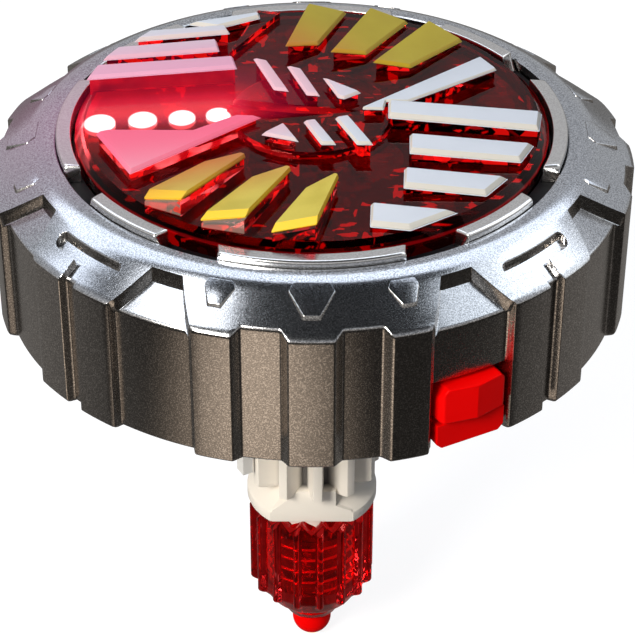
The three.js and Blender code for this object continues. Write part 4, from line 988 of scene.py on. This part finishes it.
def ribbed_cup():
    """The cup as one skin: out over a zigzag rim, down the ribs, in along the cone, and back up inside.

    A rib's section is 0.7 root(1 - s^2)^0.8 over its half width, and its foot runs out in a round.
    """
    local = np.array([-11.25, -8.4, -5.6, -4.4, -3.9, -3.5, -3.0, -2.2, -1.1, 0, 1.1, 2.2, 3.0, 3.5, 3.9, 4.4,
                      5.6, 8.4])
    angle = (RIB_PHASE + np.arange(RIB_COUNT)[:, None] * 360 / RIB_COUNT + local).ravel()
    across = np.radians(np.abs(np.tile(local, RIB_COUNT))) * RIB_RADIUS / RIB_HALF
    rib = RIB_PROUD * np.sqrt(np.clip(1 - across ** 2, 0, 1)) ** 0.8
    rim = zigzag(angle, 19.5, 20.9, RIB_COUNT, 11.25)
    rows = [(5.5, 10.0), (5.5, rim - 0.06), (5.56, rim), (CUP - 0.1, rim), (CUP - 0.02, rim - 0.05),
            (CUP, rim - 0.14), (CUP + rib * 0.2, rim - 0.3), (CUP + rib * 0.75, rim - 0.45),
            (CUP + rib, rim - 0.7)]
    for height in (17.0, 14.0, 11.5, 10.2, 9.9, 9.6, 9.4, 9.2, 9.0, 8.85, 8.75, 8.68):
        below = max(RIB_FOOT - height, 0) / 0.5
        rows.append((cup_wall(height) + rib * math.sqrt(1 - below ** 2), height))
    rows += [(cup_wall(height), height) for height in (8.0, 7.2, 6.82, 6.3, 5.4, 4.6, 4.2)]
    rows += [(2.82, 4.02), (2.46, 4.04), (2.46, 4.2), (2.2, 4.7), (2.0, 4.75), (2.0, 9.9), (2.05, 10.0)]
    return turned_rows(rows, angle)


piece("drive_cup", "red_cup", "top", cup_red, ribbed_cup(), slot="clear_red", sharp=35)


# Tip

TIP_RADIUS = 2.24


def tip():
    """Half a ball, a short column over it, and a stem of radius 0.9."""
    t = np.radians(np.linspace(0, 90, 19))
    ball = TIP_RADIUS * np.column_stack([np.sin(t), 1 - np.cos(t)])
    return lathe([*ball, (TIP_RADIUS, 3.5), (2.19, 3.75), (2.05, 3.95), (1.8, 4.1), (0.9, 4.4), (0.9, 9.5),
                  (0.8, 9.6), (0, 9.6)])


piece("ball_tip", "red_tip", "tip", tip_red, tip(), slot="tip_plastic")


# Housing, deck and the pieces inside

refined("lower_housing", "housing", "top", house_black, 0.12)
for finish, nodes in [
        (deck, "black_deck"), (board_green, "lamp_board"), (plain_white, "cell_holder"),
        (gloss_black, "switch_plunger"), (house_black, "core_housing tact_switch"),
        (brass, "contact_plate neck_bush tip_bush"),
        (steel, "drive_shaft shaft_nut thrust_washer gear_circlip tip_keeper"),
        (steel, "button_cell_1 button_cell_2 button_cell_3"),
        (steel, "housing_screw_1 housing_screw_2 housing_screw_3 housing_screw_4")]:
    for node in nodes.split():
        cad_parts[node].data.materials.clear()
        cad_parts[node].data.materials.append(finish)


# Studio

def floor(half):
    """A square floor at the tip's foot."""
    mesh = bpy.data.meshes.new("floor")
    corners = [(-half, -half, 0), (half, -half, 0), (half, half, 0), (-half, half, 0)]
    mesh.from_pydata(corners, [], [(0, 1, 2, 3)])
    mesh.materials.append(floor_finish())
    made = placed("floor", mesh)


def floor_finish():
    """A pale floor, white to the camera but for the shadow. Metal sees it bright at the front left."""
    finish = Finish("floor", Roughness=0.9, Base_Color=(0.22, 0.22, 0.23))
    rays = finish.node("LightPath").outputs
    x, y, _ = finish.axes()
    far = finish.length(x + 34, y + 112)
    rest = finish.blend(y.between(-90, 20), (0.03, 0.028, 0.026), (0.19, 0.18, 0.17))
    seen = finish.blend(1 - (far / 74).between(0.0, 1.0), rest, (1.05, 0.86, 0.69))
    camera, glossy = Number(finish, rays["Is Camera Ray"]), Number(finish, rays["Is Glossy Ray"])
    metal_view = finish.node("Emission", {"Color": seen, "Strength": 1.0}).outputs[0]
    bright = camera * (finish.length(x, y).between(300, 900) * 0.15 + 0.85)
    lift = finish.node("Emission", {"Color": (1, 1, 1), "Strength": bright}).outputs[0]
    lifted = finish.node("AddShader", {0: finish.shader.outputs[0], 1: lift}).outputs[0]
    mixed = finish.node("MixShader", {0: glossy, 1: lifted, 2: metal_view}).outputs[0]
    finish.feed(finish.output.inputs[0], mixed)
    return finish.material


floor(6.0)


def softbox(name, place, aim, size, radiance, colour):
    """A rectangular soft lamp that faces a point, with a power of pi x area x radiance watts."""
    data = bpy.data.lights.new(name, "AREA")
    data.shape, data.size, data.size_y = "RECTANGLE", size[0], size[1]
    data.energy, data.color = math.pi * size[0] * size[1] * radiance, colour
    made = placed(name, data)
    made.location = place
    made.rotation_euler = (Vector(aim) - Vector(place)).to_track_quat("-Z", "Y").to_euler()


softbox("softbox overhead", (0, 0.32, 0.6), (0, 0.32, 0), (1.3, 0.42), 1.55, (0.84, 0.90, 1.0))
softbox("right highlight", (0.38, -0.03, 0.6), (0.02, -0.01, 0.07), (0.3, 0.2), 1.15, (0.90, 0.95, 1.0))
softbox("softbox right", (0.60, 0.12, 0.45), (0, 0, 0.06), (0.34, 0.5), 0.9, (0.94, 0.98, 1.0))
softbox("left highlight", (-0.28, -0.08, 0.6), (-0.02, -0.02, 0.07), (0.2, 0.2), 2.7, (0.97, 0.98, 1.0))
softbox("front left key", (-0.36, -0.48, 0.42), (0, 0, 0.03), (0.26, 0.26), 26.0, (1.0, 0.95, 0.87))


def studio_world():
    """White to the camera. Metal and glass see a grey horizon that darkens overhead."""
    world = bpy.data.worlds.new("studio")
    bpy.context.scene.world = world
    world.use_nodes = True
    studio = Nodes(world.node_tree)
    rays = studio.node("LightPath").outputs
    across, _, upward = studio.parts(studio.coordinates["Generated"])
    plain = studio.blend(across.between(-0.8, 0.6), (0.22, 0.22, 0.23), (0.08, 0.09, 0.11))
    sky = studio.ramp(upward, [(0.0, (0.44, 0.44, 0.44)), (0.6, (0.42, 0.42, 0.43)),
                               (0.78, (0.04, 0.04, 0.04)), (1.0, (0.02, 0.02, 0.02))])
    mirrored = studio.maths("MAXIMUM", rays["Is Glossy Ray"], rays["Is Transmission Ray"])
    seen = studio.blend(rays["Is Camera Ray"], studio.blend(mirrored, plain, sky), (1, 1, 1))
    back = studio.node("Background", {0: seen})
    studio.node("OutputWorld", {0: back.outputs[0]})


studio_world()

# The camera of the photograph, worked out from the ring's ellipses
camera = bpy.data.cameras.new("camera")
camera.sensor_width, camera.lens, camera.shift_x = 36.0, 131.92, 0.00898
camera.clip_start, camera.clip_end = 0.01, 20
viewer = placed("camera", camera)
viewer.location = (0, -0.2049, 0.1873)
viewer.rotation_euler = (math.radians(90 - 34.82), 0, 0)
bpy.context.scene.camera = viewer
bpy.context.scene.view_settings.view_transform = "Standard"
